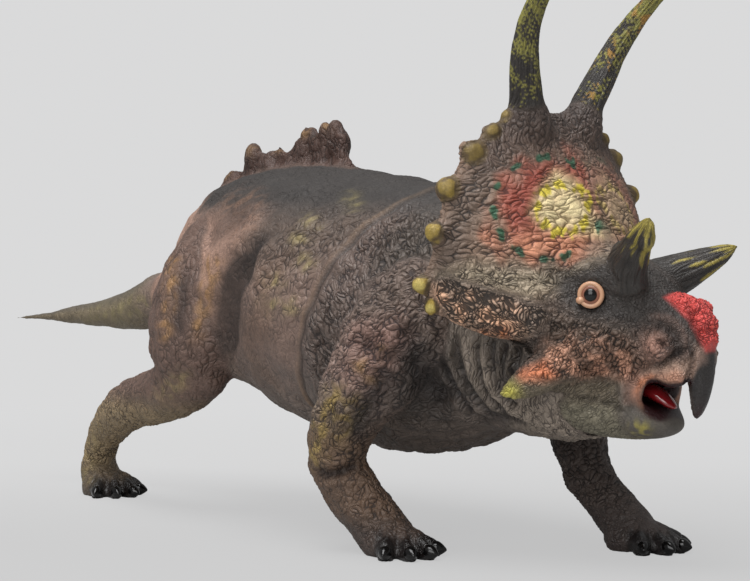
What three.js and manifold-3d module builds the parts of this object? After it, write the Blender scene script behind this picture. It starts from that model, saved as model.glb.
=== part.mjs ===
// A moulded vinyl horned dinosaur figure, standing in mid stride with its mouth open.
// The trunk is two hollow shells that plug together behind the shoulders. The tail, the four legs,
// the back crest and the head are plugged and glued to them, and the head carries its jaw, tongue,
// eyes and four horns. Millimetres, X forward, Y to the animal's left, Z up.

import * as THREE from "three";
import { mergeVertices } from "three/addons/utils/BufferGeometryUtils.js";
import Module from "manifold-3d";

const wasm = await Module();
wasm.setup();

// Driving sizes of the whole animal.
const trunkLength = 120;
const trunkWidth = 54;
const backHeight = 66;

// Shells, glue gaps and plugs.
const shellWall = 2.6;
const glueGap = 0.3;
const seamLipLength = 4;
const plugRadius = 3.4;
const plugLength = 5.5;
const plugRootDepth = 2;
const plugFlatDepth = 0.9;
const cutOverrun = 5;

// Legs and feet.
const legThickness = 10;
const footLength = 14.5;
const footWidth = 10.5;
const footHeight = 6.4;
const toeLength = 4.6;
const toeWidth = 3.4;
const nailLength = 2.6;
const toesPerFoot = 4;

// Tail and back crest.
const tailLength = 48;
const tailRootDepth = 13;
const tailSweep = 12;
const crestHeight = 8;
const crestThickness = 2.8;
const crestTongueThickness = 1.2;
const crestTongueDepth = 1.8;

// Head, frill and jaw.
const headLength = 30;
const headWidth = 26;
const headDepth = 27;
const headTurnDegrees = 9;
const frillWidth = 52;
const frillHeight = 35;
const frillThickness = 3.2;
const frillKnobRadius = 1.9;
const noseBossRadius = 2.3;
const eyeRadius = 2.1;
const jawLength = 27;
const jawWidth = 20;
const tongueLength = 8.3;
const tongueWidth = 4.6;
const tongueThickness = 1.7;

// Horns.
const frillHornLength = 31;
const frillHornRadius = 3.1;
const browHornLength = 15;
const browHornRadius = 3.1;
const cheekHornLength = 10;
const cheekHornRadius = 4.2;
const hornPegRadius = 1.3;
const hornPegLength = 3;

// A point of the body: shares of the trunk's length from the middle, of its width from the midline
// and of the height of the back from the floor.
function bodyPoint([alongShare, sideShare, heightShare]) {
  return new THREE.Vector3(alongShare * trunkLength, sideShare * trunkWidth, heightShare * backHeight);
}

// Smooth values between rows of a table, ends included.
function between(rows, steps) {
  const places = rows.map((_, i) => i);
  const curve = new THREE.CubicInterpolant(places, rows.flat(), rows[0].length);
  const last = rows.length - 1;
  return Array.from({ length: steps + 1 }, (_, i) => Array.from(curve.evaluate((i * last) / steps)));
}

// A closed skin over rings of points, each ring with as many points, with flat fans at both ends.
function skinOver(rings) {
  const count = rings[0].length;
  const positions = [];
  const middleOf = (ring) => ring.reduce((sum, p) => sum.add(p), new THREE.Vector3()).divideScalar(count);
  const put = (...points) => points.forEach((p) => positions.push(p.x, p.y, p.z));
  for (let r = 0; r + 1 < rings.length; r += 1) {
    for (let i = 0; i < count; i += 1) {
      const [a, b] = [rings[r][i], rings[r][(i + 1) % count]];
      const [c, d] = [rings[r + 1][i], rings[r + 1][(i + 1) % count]];
      put(a, b, d);
      put(a, d, c);
    }
  }
  const [first, last] = [rings[0], rings[rings.length - 1]];
  const [firstMiddle, lastMiddle] = [middleOf(first), middleOf(last)];
  for (let i = 0; i < count; i += 1) {
    const next = (i + 1) % count;
    put(firstMiddle, first[next], first[i]);
    put(lastMiddle, last[i], last[next]);
  }
  return new THREE.BufferGeometry().setAttribute("position", new THREE.Float32BufferAttribute(positions, 3));
}

// A manifold solid from a closed geometry, turned the right way out.
function solidOf(geometry) {
  const bare = geometry.clone();
  bare.deleteAttribute("normal");
  bare.deleteAttribute("uv");
  const merged = mergeVertices(bare, 1e-4);
  const vertProperties = new Float32Array(merged.attributes.position.array);
  const triVerts = new Uint32Array(merged.index.array);
  const made = new wasm.Manifold(new wasm.Mesh({ numProp: 3, vertProperties, triVerts }));
  if (made.volume() > 0) return made;
  for (let i = 0; i < triVerts.length; i += 3) {
    [triVerts[i + 1], triVerts[i + 2]] = [triVerts[i + 2], triVerts[i + 1]];
  }
  return new wasm.Manifold(new wasm.Mesh({ numProp: 3, vertProperties, triVerts }));
}

// An upright oval ring across the body at one place along it.
function bodyRing(x, y, top, bottom, halfWidth, sides) {
  const middle = (top + bottom) / 2;
  return Array.from({ length: sides }, (_, i) => {
    const angle = (2 * Math.PI * i) / sides;
    const [c, s] = [Math.cos(angle), Math.sin(angle)];
    return new THREE.Vector3(x, y + halfWidth * c, middle + ((top - bottom) / 2) * s);
  });
}

// A limb or horn: ovals square to a path. Each row holds the path's x, y and z, then the oval's
// half size in the fore and aft plane and its half size across.
function limbOf(rows, steps, sides, grow = 0) {
  const stations = between(rows, steps);
  const path = stations.map(([x, y, z]) => new THREE.Vector3(x, y, z));
  const rings = stations.map(([, , , halfAlong, halfAcross], i) => {
    const before = path[Math.max(i - 1, 0)];
    const after = path[Math.min(i + 1, path.length - 1)];
    const way = after.clone().sub(before).normalize();
    const across = new THREE.Vector3(0, 1, 0).addScaledVector(way, -way.y).normalize();
    const along = new THREE.Vector3().crossVectors(across, way);
    return Array.from({ length: sides }, (_, k) => {
      const angle = (2 * Math.PI * k) / sides;
      return path[i]
        .clone()
        .addScaledVector(along, (halfAlong + grow) * Math.cos(angle))
        .addScaledVector(across, (halfAcross + grow) * Math.sin(angle));
    });
  });
  if (grow) {
    const firstWay = path[0].clone().sub(path[1]).setLength(grow);
    const lastWay = path[path.length - 1].clone().sub(path[path.length - 2]).setLength(grow);
    rings[0].forEach((p) => p.add(firstWay));
    rings[rings.length - 1].forEach((p) => p.add(lastWay));
  }
  return solidOf(skinOver(rings));
}

// A ball stretched to three half sizes and set at a point.
function pebble(centre, halfX, halfY, halfZ, turn = 0, wide = 10, high = 7) {
  const ball = new THREE.SphereGeometry(1, wide, high);
  ball.scale(halfX, halfY, halfZ);
  ball.rotateZ(turn);
  ball.translate(centre.x, centre.y, centre.z);
  return solidOf(ball);
}

// A slab of space between two places along the body, wider and taller than the animal.
function slab(fromX, toX) {
  const box = new THREE.BoxGeometry(toX - fromX, 2 * trunkWidth, 3 * backHeight);
  box.translate((fromX + toX) / 2, 0, backHeight / 2);
  return solidOf(box);
}

// A glue plug along a direction, with a flat on one side so that it can't turn in its socket.
function plug(start, way, radius, length, grow = 0) {
  const whole = plugRootDepth + length + grow;
  const rod = new THREE.CylinderGeometry(radius + grow, radius + grow, whole, 10);
  const flat = new THREE.BoxGeometry(2 * radius, 2 * (length + cutOverrun), 2 * radius + 2 * cutOverrun);
  flat.translate(2 * radius - plugFlatDepth + grow, 0, 0);
  const shape = solidOf(rod).subtract(solidOf(flat));
  const turn = new THREE.Quaternion().setFromUnitVectors(new THREE.Vector3(0, 1, 0), way.clone().normalize());
  const middle = start.clone().addScaledVector(way.clone().normalize(), whole / 2 - plugRootDepth);
  const place = new THREE.Matrix4().compose(middle, turn, new THREE.Vector3(1, 1, 1));
  return shape.transform(place.elements);
}

// The trunk, from the root of the tail to the end of the neck inside the head. Each row is the
// place along the body, the top, the underside and the half width.
const trunkShares = [
  [-0.592, 0.672, 0.53, 0.1],
  [-0.562, 0.715, 0.528, 0.108],
  [-0.53, 0.783, 0.525, 0.115],
  [-0.49, 0.858, 0.512, 0.13],
  [-0.433, 0.925, 0.47, 0.19],
  [-0.35, 0.972, 0.414, 0.285],
  [-0.25, 0.995, 0.356, 0.375],
  [-0.15, 1.0, 0.302, 0.44],
  [-0.042, 0.988, 0.257, 0.488],
  [0.067, 0.962, 0.226, 0.5],
  [0.15, 0.942, 0.222, 0.485],
  [0.21, 0.925, 0.25, 0.458],
  [0.267, 0.91, 0.29, 0.422],
  [0.32, 0.895, 0.314, 0.375],
  [0.367, 0.865, 0.303, 0.325],
  [0.417, 0.77, 0.292, 0.27],
  [0.46, 0.64, 0.3, 0.205],
  [0.492, 0.54, 0.335, 0.135],
];
const trunkSteps = 17;
const trunkSides = 18;
const cavityFromShare = -0.43;
const cavityToShare = 0.34;
const seamShare = 0.108;
const seamHeightShare = 0.545;
const seamLeanDegrees = 24;

function trunkSkin(grow) {
  const rings = between(trunkShares, trunkSteps).map(([x, top, bottom, half]) =>
    bodyRing(
      x * trunkLength,
      0,
      top * backHeight + grow,
      bottom * backHeight - grow,
      half * trunkWidth + grow,
      trunkSides,
    ),
  );
  return solidOf(skinOver(rings));
}

// All the space ahead of the leaning seam, moved along the seam's own normal.
function aheadOfSeam(offset) {
  const size = 3 * trunkLength;
  const box = new THREE.BoxGeometry(size, size, size);
  box.translate(offset + size / 2, 0, 0);
  box.rotateY(THREE.MathUtils.degToRad(seamLeanDegrees));
  box.translate(seamShare * trunkLength, 0, seamHeightShare * backHeight);
  return solidOf(box);
}

const trunkSolid = trunkSkin(0);
const trunkGrown = trunkSkin(glueGap);
const cavitySlab = slab(cavityFromShare * trunkLength, cavityToShare * trunkLength);
const cavity = trunkSkin(-shellWall).intersect(cavitySlab);

// The tail, swept a little to the animal's right.
const tailShares = [
  [0.0, 0.0, -0.03, 0.46, 0.42],
  [0.1, 0.03, -0.13, 0.43, 0.43],
  [0.19, 0.12, -0.26, 0.4, 0.42],
  [0.3, 0.25, -0.34, 0.32, 0.35],
  [0.45, 0.42, -0.395, 0.245, 0.28],
  [0.655, 0.67, -0.43, 0.165, 0.19],
  [0.87, 0.92, -0.48, 0.075, 0.085],
  [1.0, 1.0, -0.5, 0.03, 0.035],
];
const tailJointShare = -0.575;
const tailHeightShare = 0.632;

function tailSolid() {
  const rootX = tailJointShare * trunkLength;
  const rootZ = tailHeightShare * backHeight;
  const rows = tailShares.map(([along, side, drop, halfHigh, halfWide]) => [
    rootX - along * tailLength,
    -side * tailSweep,
    rootZ + drop * tailRootDepth,
    halfHigh * tailRootDepth,
    halfWide * tailRootDepth,
  ]);
  return limbOf(rows, 10, 12);
}

const tailSeam = new THREE.Vector3(tailJointShare * trunkLength, 0, tailHeightShare * backHeight);
const tailWay = new THREE.Vector3(1, 0, 0);
const tail = tailSolid()
  .subtract(slab(tailSeam.x, trunkLength))
  .add(plug(tailSeam, tailWay, plugRadius, plugLength));

// The crest of fused spines over the hips: places along the back and heights over it.
const crestShares = [
  [-0.055, 0.02],
  [-0.078, 0.52],
  [-0.098, 0.92],
  [-0.12, 1.0],
  [-0.142, 0.98],
  [-0.155, 0.8],
  [-0.172, 0.94],
  [-0.198, 0.85],
  [-0.228, 0.42],
  [-0.256, 0.68],
  [-0.287, 0.44],
  [-0.32, 0.7],
  [-0.345, 0.6],
  [-0.362, 0.3],
  [-0.395, 0.42],
  [-0.425, 0.1],
];
const crestTopShare = 0.3;
const crestSink = 4;

function backAt(alongShare) {
  const rows = between(trunkShares, 4 * trunkSteps);
  const next = rows.findIndex(([x]) => x >= alongShare);
  const [before, after] = [rows[next - 1], rows[next]];
  const share = (alongShare - before[0]) / (after[0] - before[0]);
  return (before[1] + share * (after[1] - before[1])) * backHeight;
}

function crestSlice([along, height], halfBase, halfTop, sink) {
  const x = along * trunkLength;
  const foot = backAt(along) - sink;
  const top = Math.max(backAt(along) + height * crestHeight, foot + sink);
  const shoulder = top - halfTop;
  return [
    new THREE.Vector3(x, -halfBase, foot),
    new THREE.Vector3(x, -halfTop, shoulder),
    new THREE.Vector3(x, 0, top),
    new THREE.Vector3(x, halfTop, shoulder),
    new THREE.Vector3(x, halfBase, foot),
  ];
}

const crestRows = between(crestShares, 2 * (crestShares.length - 1));
const crestTopHalf = crestThickness * crestTopShare;
const crestFin = solidOf(
  skinOver(crestRows.map((row) => crestSlice(row, crestThickness / 2, crestTopHalf, crestSink))),
).subtract(trunkGrown);

function crestTongue(grow) {
  const half = crestTongueThickness / 2 + grow;
  const inner = crestRows.filter(([along]) => along < -0.08 && along > -0.41);
  const rings = inner.map(([along]) => {
    const foot = backAt(along) - crestTongueDepth - grow;
    const top = backAt(along) + crestThickness / 2;
    return [
      new THREE.Vector3(along * trunkLength, -half, foot),
      new THREE.Vector3(along * trunkLength, -half, top),
      new THREE.Vector3(along * trunkLength, half, top),
      new THREE.Vector3(along * trunkLength, half, foot),
    ];
  });
  rings[0].forEach((p) => p.setX(p.x + grow));
  rings[rings.length - 1].forEach((p) => p.setX(p.x - grow));
  return solidOf(skinOver(rings));
}

const backCrest = crestFin.add(crestTongue(0));

// Legs. Each row is a point of the body, then the half sizes along and across as shares of the
// leg's thickness.
const rightForeLimbShares = [
  [0.28, -0.2, 0.72, 0.7, 0.5],
  [0.283, -0.335, 0.62, 0.98, 0.76],
  [0.24, -0.41, 0.48, 0.82, 0.66],
  [0.182, -0.435, 0.35, 0.64, 0.52],
  [0.15, -0.43, 0.242, 0.54, 0.46],
  [0.172, -0.398, 0.155, 0.5, 0.45],
  [0.203, -0.358, 0.08, 0.45, 0.44],
  [0.222, -0.336, 0.03, 0.46, 0.47],
];
const leftForeLimbShares = [
  [0.23, 0.2, 0.71, 0.7, 0.5],
  [0.238, 0.335, 0.61, 0.92, 0.76],
  [0.244, 0.385, 0.48, 0.84, 0.66],
  [0.252, 0.378, 0.36, 0.64, 0.54],
  [0.274, 0.352, 0.26, 0.54, 0.45],
  [0.303, 0.338, 0.165, 0.42, 0.4],
  [0.368, 0.333, 0.08, 0.4, 0.4],
  [0.392, 0.333, 0.03, 0.44, 0.46],
];
const rightThighShares = [
  [-0.29, -0.16, 0.86, 0.6, 0.42],
  [-0.272, -0.25, 0.76, 0.9, 0.7],
  [-0.262, -0.31, 0.64, 1.12, 0.86],
  [-0.264, -0.332, 0.52, 1.18, 0.86],
  [-0.266, -0.338, 0.435, 1.02, 0.75],
  [-0.258, -0.338, 0.375, 0.52, 0.45],
];
const rightShinShares = [
  [-0.215, -0.338, 0.44, 0.45, 0.4],
  [-0.28, -0.342, 0.39, 0.6, 0.56],
  [-0.37, -0.332, 0.338, 0.56, 0.52],
  [-0.465, -0.315, 0.305, 0.5, 0.46],
  [-0.55, -0.292, 0.248, 0.44, 0.42],
  [-0.614, -0.27, 0.16, 0.31, 0.34],
  [-0.63, -0.26, 0.08, 0.34, 0.37],
  [-0.62, -0.252, 0.03, 0.44, 0.44],
];
const leftThighShares = [
  [-0.31, 0.16, 0.88, 0.6, 0.42],
  [-0.3, 0.25, 0.77, 0.9, 0.7],
  [-0.28, 0.31, 0.64, 1.18, 0.86],
  [-0.25, 0.332, 0.52, 1.2, 0.84],
  [-0.22, 0.335, 0.43, 0.9, 0.7],
  [-0.21, 0.335, 0.37, 0.45, 0.4],
];
const leftShinShares = [
  [-0.165, 0.335, 0.42, 0.45, 0.45],
  [-0.2, 0.325, 0.365, 0.62, 0.56],
  [-0.25, 0.305, 0.295, 0.54, 0.5],
  [-0.27, 0.285, 0.21, 0.46, 0.44],
  [-0.268, 0.275, 0.13, 0.38, 0.38],
  [-0.25, 0.27, 0.07, 0.38, 0.38],
  [-0.233, 0.268, 0.03, 0.42, 0.42],
];

function limbRows(shares) {
  return shares.map(([along, side, height, halfAlong, halfAcross]) => [
    ...bodyPoint([along, side, height]).toArray(),
    halfAlong * legThickness,
    halfAcross * legThickness,
  ]);
}

// A foot: a low pad with its toes fanned over its front, each with a blunt hoof nail, cut flat.
function footAt(centre, turnDegrees) {
  const turn = THREE.MathUtils.degToRad(turnDegrees);
  const spot = (along, side, height) =>
    new THREE.Vector3(along, side, height).applyAxisAngle(new THREE.Vector3(0, 0, 1), turn).add(centre);
  const padAt = spot(0, 0, footHeight / 4);
  const pad = pebble(padAt, footLength / 2.4, footWidth / 2.1, footHeight / 1.7, turn, 10, 6);
  const toes = Array.from({ length: toesPerFoot }, (_, i) => {
    const fan = THREE.MathUtils.degToRad(-54 + (108 * i) / (toesPerFoot - 1));
    const reach = footLength / 2 - toeLength / 2.4;
    const side = (footWidth / 2 - toeWidth / 3) * Math.sin(fan) * 1.12;
    const toe = spot(reach * Math.cos(fan), side, toeWidth / 2.6);
    const nail = spot((reach + toeLength / 2.3) * Math.cos(fan), side * 1.16, toeWidth / 3.4);
    return pebble(toe, toeLength / 2, toeWidth / 2, toeWidth / 1.8, turn + fan * 0.7, 7, 4).add(
      pebble(nail, nailLength / 2, toeWidth / 2.5, toeWidth / 2.9, turn + fan * 0.7, 5, 3),
    );
  });
  return wasm.Manifold.union([pad, ...toes]);
}

const floorCut = new THREE.BoxGeometry(3 * trunkLength, 3 * trunkWidth, backHeight);
floorCut.translate(0, 0, -backHeight / 2);
const floorSolid = solidOf(floorCut);

// A leg, cut back to the trunk's surface, with its plug into the trunk.
function legOf(limbs, footShare, footTurn, plugShare) {
  const foot = footAt(bodyPoint([...footShare, 0]), footTurn);
  const flesh = wasm.Manifold.union([...limbs, foot]);
  return flesh.subtract(floorSolid).subtract(trunkGrown).add(legPlug(plugShare, 0));
}

// A plug runs from inside the leg, square to the midline plane, through the wall of the trunk.
function legPlug([along, side, height], grow) {
  const start = bodyPoint([along, side, height]);
  return plug(start, new THREE.Vector3(0, -Math.sign(side), 0), plugRadius, plugLength, grow);
}

const rightForePlugShare = [0.255, -0.42, 0.55];
const leftForePlugShare = [0.255, 0.42, 0.55];
const rightHindPlugShare = [-0.3, -0.34, 0.62];
const leftHindPlugShare = [-0.28, 0.35, 0.62];
const legPlugShares = [rightForePlugShare, leftForePlugShare, rightHindPlugShare, leftHindPlugShare];

const rightForeleg = legOf(
  [limbOf(limbRows(rightForeLimbShares), 10, 12)],
  [0.229, -0.333],
  -6,
  rightForePlugShare,
);
const leftForeleg = legOf([limbOf(limbRows(leftForeLimbShares), 10, 12)], [0.4, 0.333], 6, leftForePlugShare);
const rightHindleg = legOf(
  [limbOf(limbRows(rightThighShares), 7, 12), limbOf(limbRows(rightShinShares), 10, 10)],
  [-0.608, -0.252],
  -4,
  rightHindPlugShare,
);
const leftHindleg = legOf(
  [limbOf(limbRows(leftThighShares), 7, 12), limbOf(limbRows(leftShinShares), 9, 10)],
  [-0.214, 0.268],
  20,
  leftHindPlugShare,
);

// The head's own frame: its origin is on the neck, X points along the snout.
const headSeatShare = [0.433, 0.0, 0.667];
const headFrame = new THREE.Matrix4()
  .makeRotationZ(THREE.MathUtils.degToRad(headTurnDegrees))
  .setPosition(bodyPoint(headSeatShare));
const toHeadFrame = headFrame.clone().invert();

// The skull above the mouth: place along the head, top, underside and half width.
const skullShares = [
  [-0.22, 0.2, -0.42, 0.36],
  [-0.13, 0.27, -0.54, 0.45],
  [0.0, 0.31, -0.62, 0.5],
  [0.14, 0.3, -0.6, 0.49],
  [0.29, 0.24, -0.56, 0.445],
  [0.43, 0.14, -0.53, 0.365],
  [0.55, 0.06, -0.515, 0.3],
  [0.64, -0.02, -0.5, 0.25],
  [0.74, -0.1, -0.49, 0.195],
  [0.81, -0.19, -0.47, 0.13],
  [0.85, -0.27, -0.42, 0.06],
];

function headOval(x, top, bottom, halfWidth, sides) {
  return bodyRing(x, 0, top, bottom, halfWidth, sides);
}

function skull(grow) {
  const rings = between(skullShares, 13).map(([x, top, bottom, half]) =>
    headOval(x * headLength, top * headDepth + grow, bottom * headDepth - grow, half * headWidth + grow, 16),
  );
  return solidOf(skinOver(rings));
}

// The hooked upper beak: a thin keel that hangs in front of the mouth.
const beakShares = [
  [0.76, -0.22, 0.1, 0.13],
  [0.785, -0.34, 0.085, 0.115],
  [0.8, -0.47, 0.066, 0.09],
  [0.795, -0.58, 0.052, 0.065],
  [0.78, -0.68, 0.032, 0.04],
  [0.765, -0.725, 0.012, 0.016],
];

function beak(grow) {
  const rows = beakShares.map(([x, z, along, across]) => [
    x * headLength,
    0,
    z * headDepth,
    along * headLength,
    across * headWidth,
  ]);
  return limbOf(rows, 6, 9, grow);
}

// The frill: a curved plate that rises from the back of the skull, swept back towards its edges.
// Each row is the height, the half width, the front of the plate on the midline and the sweep.
const frillShares = [
  [-0.215, 0.322, 0.4, 0.47],
  [-0.115, 0.455, 0.36, 0.6],
  [0.03, 0.515, 0.26, 0.53],
  [0.25, 0.5, 0.19, 0.385],
  [0.46, 0.448, 0.1, 0.31],
  [0.63, 0.355, -0.01, 0.19],
  [0.74, 0.262, -0.1, 0.07],
  [0.82, 0.165, -0.14, 0.02],
];
const frillAcross = 10;
const frillEdgeShare = 0.5;

function frillAt(acrossShare, [, half, front, sweep]) {
  return {
    y: acrossShare * half * frillWidth,
    x: (front - sweep * acrossShare * acrossShare) * headLength,
    thick: frillThickness * (1 - frillEdgeShare * acrossShare * acrossShare),
  };
}

function frill(grow) {
  const rings = between(frillShares, 10).map((row, i, all) => {
    const lift = i === 0 ? -grow : i === all.length - 1 ? grow : 0;
    const z = row[0] * frillHeight + lift;
    const side = (sign) =>
      Array.from({ length: frillAcross + 1 }, (_, k) => {
        const share = sign * (1 - (2 * k) / frillAcross);
        const { x, y, thick } = frillAt(share, row);
        const offset = sign > 0 ? grow : -thick - grow;
        return new THREE.Vector3(x + offset, y + Math.sign(share) * grow, z);
      });
    return [...side(1), ...side(-1)];
  });
  return solidOf(skinOver(rings));
}

// Blunt knobs round the frill's edge: height as a share of the frill, and relative size.
const knobStretchShare = 0.9;
const knobShares = [
  [-0.07, 0.8],
  [0.03, 1.0],
  [0.255, 1.1],
  [0.452, 1.15],
  [0.622, 1.1],
  [0.722, 0.8],
  [0.79, 0.7],
];

function knobs(grow) {
  const rows = between(frillShares, 80);
  return knobShares.flatMap(([height, size]) =>
    [1, -1].map((side) => {
      const row = rows.reduce((a, b) => (Math.abs(b[0] - height) < Math.abs(a[0] - height) ? b : a));
      const { x, y, thick } = frillAt(side, row);
      const centre = new THREE.Vector3(x - thick / 2, y, row[0] * frillHeight);
      const r = frillKnobRadius * size + grow;
      return pebble(centre, r * knobStretchShare, r, r, 0, 6, 4);
    }),
  );
}

// The cheek horns that flare back and out from the jaw corners.
const cheekHornShares = [
  [0.24, 0.36, -0.38, 0.8],
  [0.14, 0.45, -0.44, 0.85],
  [0.05, 0.54, -0.52, 0.6],
  [-0.01, 0.61, -0.57, 0.42],
  [-0.06, 0.665, -0.6, 0.1],
];

function cheekHorn(side, grow) {
  const scale = cheekHornLength / (headLength / 3);
  const [root] = cheekHornShares;
  const rows = cheekHornShares.map(([x, y, z, r]) => [
    (root[0] + (x - root[0]) * scale) * headLength,
    side * (root[1] + (y - root[1]) * scale) * headWidth,
    (root[2] + (z - root[2]) * scale) * headDepth,
    r * cheekHornRadius,
    r * cheekHornRadius * 0.7,
  ]);
  return limbOf(rows, 5, 8, grow);
}

// The fleshy boss over the nose: overlapping lumps along the snout's profile.
const noseBossWideShare = 1.3;
const noseBossShares = [
  [0.62, -0.1, 0.7],
  [0.695, -0.093, 0.88],
  [0.765, -0.118, 0.95],
  [0.8, -0.196, 0.92],
  [0.806, -0.267, 0.74],
];

function noseBoss(grow) {
  return noseBossShares.map(([x, z, size]) => {
    const r = noseBossRadius * size + grow;
    return pebble(new THREE.Vector3(x * headLength, 0, z * headDepth), r, r * noseBossWideShare, r, 0, 8, 5);
  });
}

// The brow ridge over the eye, the bulge of the cheek under it and the swelling round the nostril.
const browShares = [
  [0.31, 0.31, 0.09, 0.21, 0.1],
  [0.24, 0.35, -0.3, 0.24, 0.13],
  [0.67, 0.14, -0.3, 0.1, 0.12],
];
const nostrilShare = [0.7, 0.235, -0.3];
const nostrilRadius = 0.8;

function browsAndCheeks(grow) {
  return browShares.flatMap(([x, y, z, halfLong, halfWide]) =>
    [1, -1].map((side) =>
      pebble(
        new THREE.Vector3(x * headLength, side * y * headWidth, z * headDepth),
        halfLong * headLength + grow,
        halfWide * headWidth + grow,
        halfWide * headWidth + grow,
        0,
        9,
        5,
      ),
    ),
  );
}

function nostrilPit(side) {
  const [x, y, z] = nostrilShare;
  const centre = new THREE.Vector3(x * headLength, side * y * headWidth, z * headDepth);
  return pebble(centre, nostrilRadius, nostrilRadius, nostrilRadius, 0, 7, 4);
}

function headForm(grow) {
  return wasm.Manifold.union([
    skull(grow),
    beak(grow),
    frill(grow),
    cheekHorn(1, grow),
    cheekHorn(-1, grow),
    hornSwell(1, grow),
    hornSwell(-1, grow),
    ...knobs(grow),
    ...noseBoss(grow),
    ...browsAndCheeks(grow),
  ]);
}

// The lower jaw: place along it, the rim, the chin line and the half width. It fills the throat
// behind the mouth and thins to a scoop under the beak.
const jawShares = [
  [-0.12, -0.42, -0.76, 0.42],
  [0.1, -0.46, -0.83, 0.46],
  [0.3, -0.5, -0.86, 0.44],
  [0.46, -0.53, -0.86, 0.385],
  [0.555, -0.57, -0.855, 0.335],
  [0.62, -0.645, -0.845, 0.285],
  [0.675, -0.71, -0.83, 0.215],
  [0.72, -0.745, -0.805, 0.12],
];

function jawSolid(grow) {
  const rings = between(jawShares, 10).map(([x, top, bottom, half], i, all) => {
    const push = i === 0 ? -grow : i === all.length - 1 ? grow : 0;
    return headOval(
      x * jawLength + push,
      top * headDepth + grow,
      bottom * headDepth - grow,
      half * jawWidth + grow,
      14,
    );
  });
  return solidOf(skinOver(rings));
}

// The tongue lies in the scoop of the jaw and slopes down to its tip.
const tongueShares = [
  [0.0, 0.0, 0.75, 0.75],
  [0.3, -0.45, 1.0, 1.0],
  [0.65, -1.2, 0.9, 0.85],
  [0.88, -1.72, 0.6, 0.6],
  [1.0, -1.9, 0.2, 0.2],
];
const tongueRootShare = [0.37, -0.575];

function tongueSolid(grow) {
  const [rootX, rootZ] = tongueRootShare;
  const rows = tongueShares.map(([along, rise, thick, wide]) => [
    rootX * headLength + along * tongueLength,
    0,
    rootZ * headDepth + rise * tongueThickness,
    (thick * tongueThickness) / 2,
    (wide * tongueWidth) / 2,
  ]);
  return limbOf(rows, 6, 10, grow);
}

// The hollow of the mouth between the palate and the floor of the jaw.
const mouthShares = [
  [0.34, -0.56, 0.02, 0.08],
  [0.42, -0.58, 0.06, 0.17],
  [0.54, -0.6, 0.085, 0.19],
  [0.63, -0.62, 0.085, 0.15],
  [0.7, -0.63, 0.06, 0.09],
];

function mouthHollow() {
  const rows = mouthShares.map(([x, z, high, wide]) => [
    x * headLength,
    0,
    z * headDepth,
    high * headDepth,
    wide * headWidth,
  ]);
  return limbOf(rows, 6, 12);
}

// Horns of the frill: places in the head's frame as shares of the horn's length from its root,
// then the radius. They lean out, then curve forward.
const frillHornRootShare = [-0.13, 0.13, 0.8];
const frillHornShares = [
  [-0.01, 0.01, 0.0, 1.02],
  [0.005, 0.037, 0.07, 0.96],
  [0.04, 0.1, 0.2, 0.82],
  [0.09, 0.155, 0.35, 0.7],
  [0.17, 0.2, 0.49, 0.58],
  [0.28, 0.235, 0.62, 0.46],
  [0.41, 0.255, 0.73, 0.32],
  [0.55, 0.26, 0.82, 0.16],
  [0.61, 0.26, 0.855, 0.07],
];

// The frill swells round each of its horns.
const hornSwellShares = [1.15, 1.25, 1.5];

function hornSwell(side, grow) {
  const [x, y, z] = frillHornRootShare;
  const height = z * frillHeight - frillHornRadius / 2;
  const centre = new THREE.Vector3(x * headLength, side * y * frillWidth, height);
  const [halfX, halfY, halfZ] = hornSwellShares.map((share) => share * frillHornRadius + grow);
  return pebble(centre, halfX, halfY, halfZ, 0, 10, 6);
}

function frillHornRows(side) {
  const [x, y, z] = frillHornRootShare;
  return frillHornShares.map(([along, out, up, radius]) => [
    x * headLength + along * frillHornLength,
    side * (y * frillWidth + out * frillHornLength),
    z * frillHeight + up * frillHornLength,
    radius * frillHornRadius,
    radius * frillHornRadius * 0.86,
  ]);
}

// The left one is set lower and straighter than the right one.
const browHornRootShare = [0.425, 0.19, 0.055];
const browHornRise = { left: 0.62, right: 1.08 };
const browHornShares = [
  [-0.07, -0.05, -0.06, 1.06],
  [0.1, 0.08, 0.08, 1.04],
  [0.28, 0.22, 0.22, 0.84],
  [0.48, 0.36, 0.4, 0.54],
  [0.67, 0.48, 0.6, 0.1],
];

function browHornRows(side) {
  const [x, y, z] = browHornRootShare;
  return browHornShares.map(([along, out, up, radius]) => [
    x * headLength + along * browHornLength,
    side * (y * headWidth + out * browHornLength),
    z * headDepth + up * browHornLength * (side > 0 ? browHornRise.left : browHornRise.right),
    radius * browHornRadius,
    radius * browHornRadius * 0.85,
  ]);
}

// A round peg at a horn's root, pointing back down the horn.
function hornPeg(rows, grow) {
  const root = new THREE.Vector3(rows[1][0], rows[1][1], rows[1][2]);
  const beyond = new THREE.Vector3(rows[2][0], rows[2][1], rows[2][2]);
  const way = root.clone().sub(beyond).normalize();
  const length = hornPegLength + root.distanceTo(beyond) + grow;
  const rod = new THREE.CylinderGeometry(hornPegRadius + grow, hornPegRadius + grow, length, 12);
  const turn = new THREE.Quaternion().setFromUnitVectors(new THREE.Vector3(0, 1, 0), way);
  const middle = root.clone().addScaledVector(way, hornPegLength + grow - length / 2);
  const place = new THREE.Matrix4().compose(middle, turn, new THREE.Vector3(1, 1, 1));
  return solidOf(rod).transform(place.elements);
}

const eyeShare = [0.35, 0.375, -0.02];

function eyeball(side, grow) {
  const [x, y, z] = eyeShare;
  const centre = new THREE.Vector3(x * headLength, side * y * headWidth, z * headDepth);
  const r = eyeRadius + grow;
  return pebble(centre, r, r, r, 0, 11, 7);
}

const hornSets = [
  ["frill_horn", frillHornRows, 11],
  ["brow_horn", browHornRows, 5],
];
const sides = [
  ["left", 1],
  ["right", -1],
];

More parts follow.
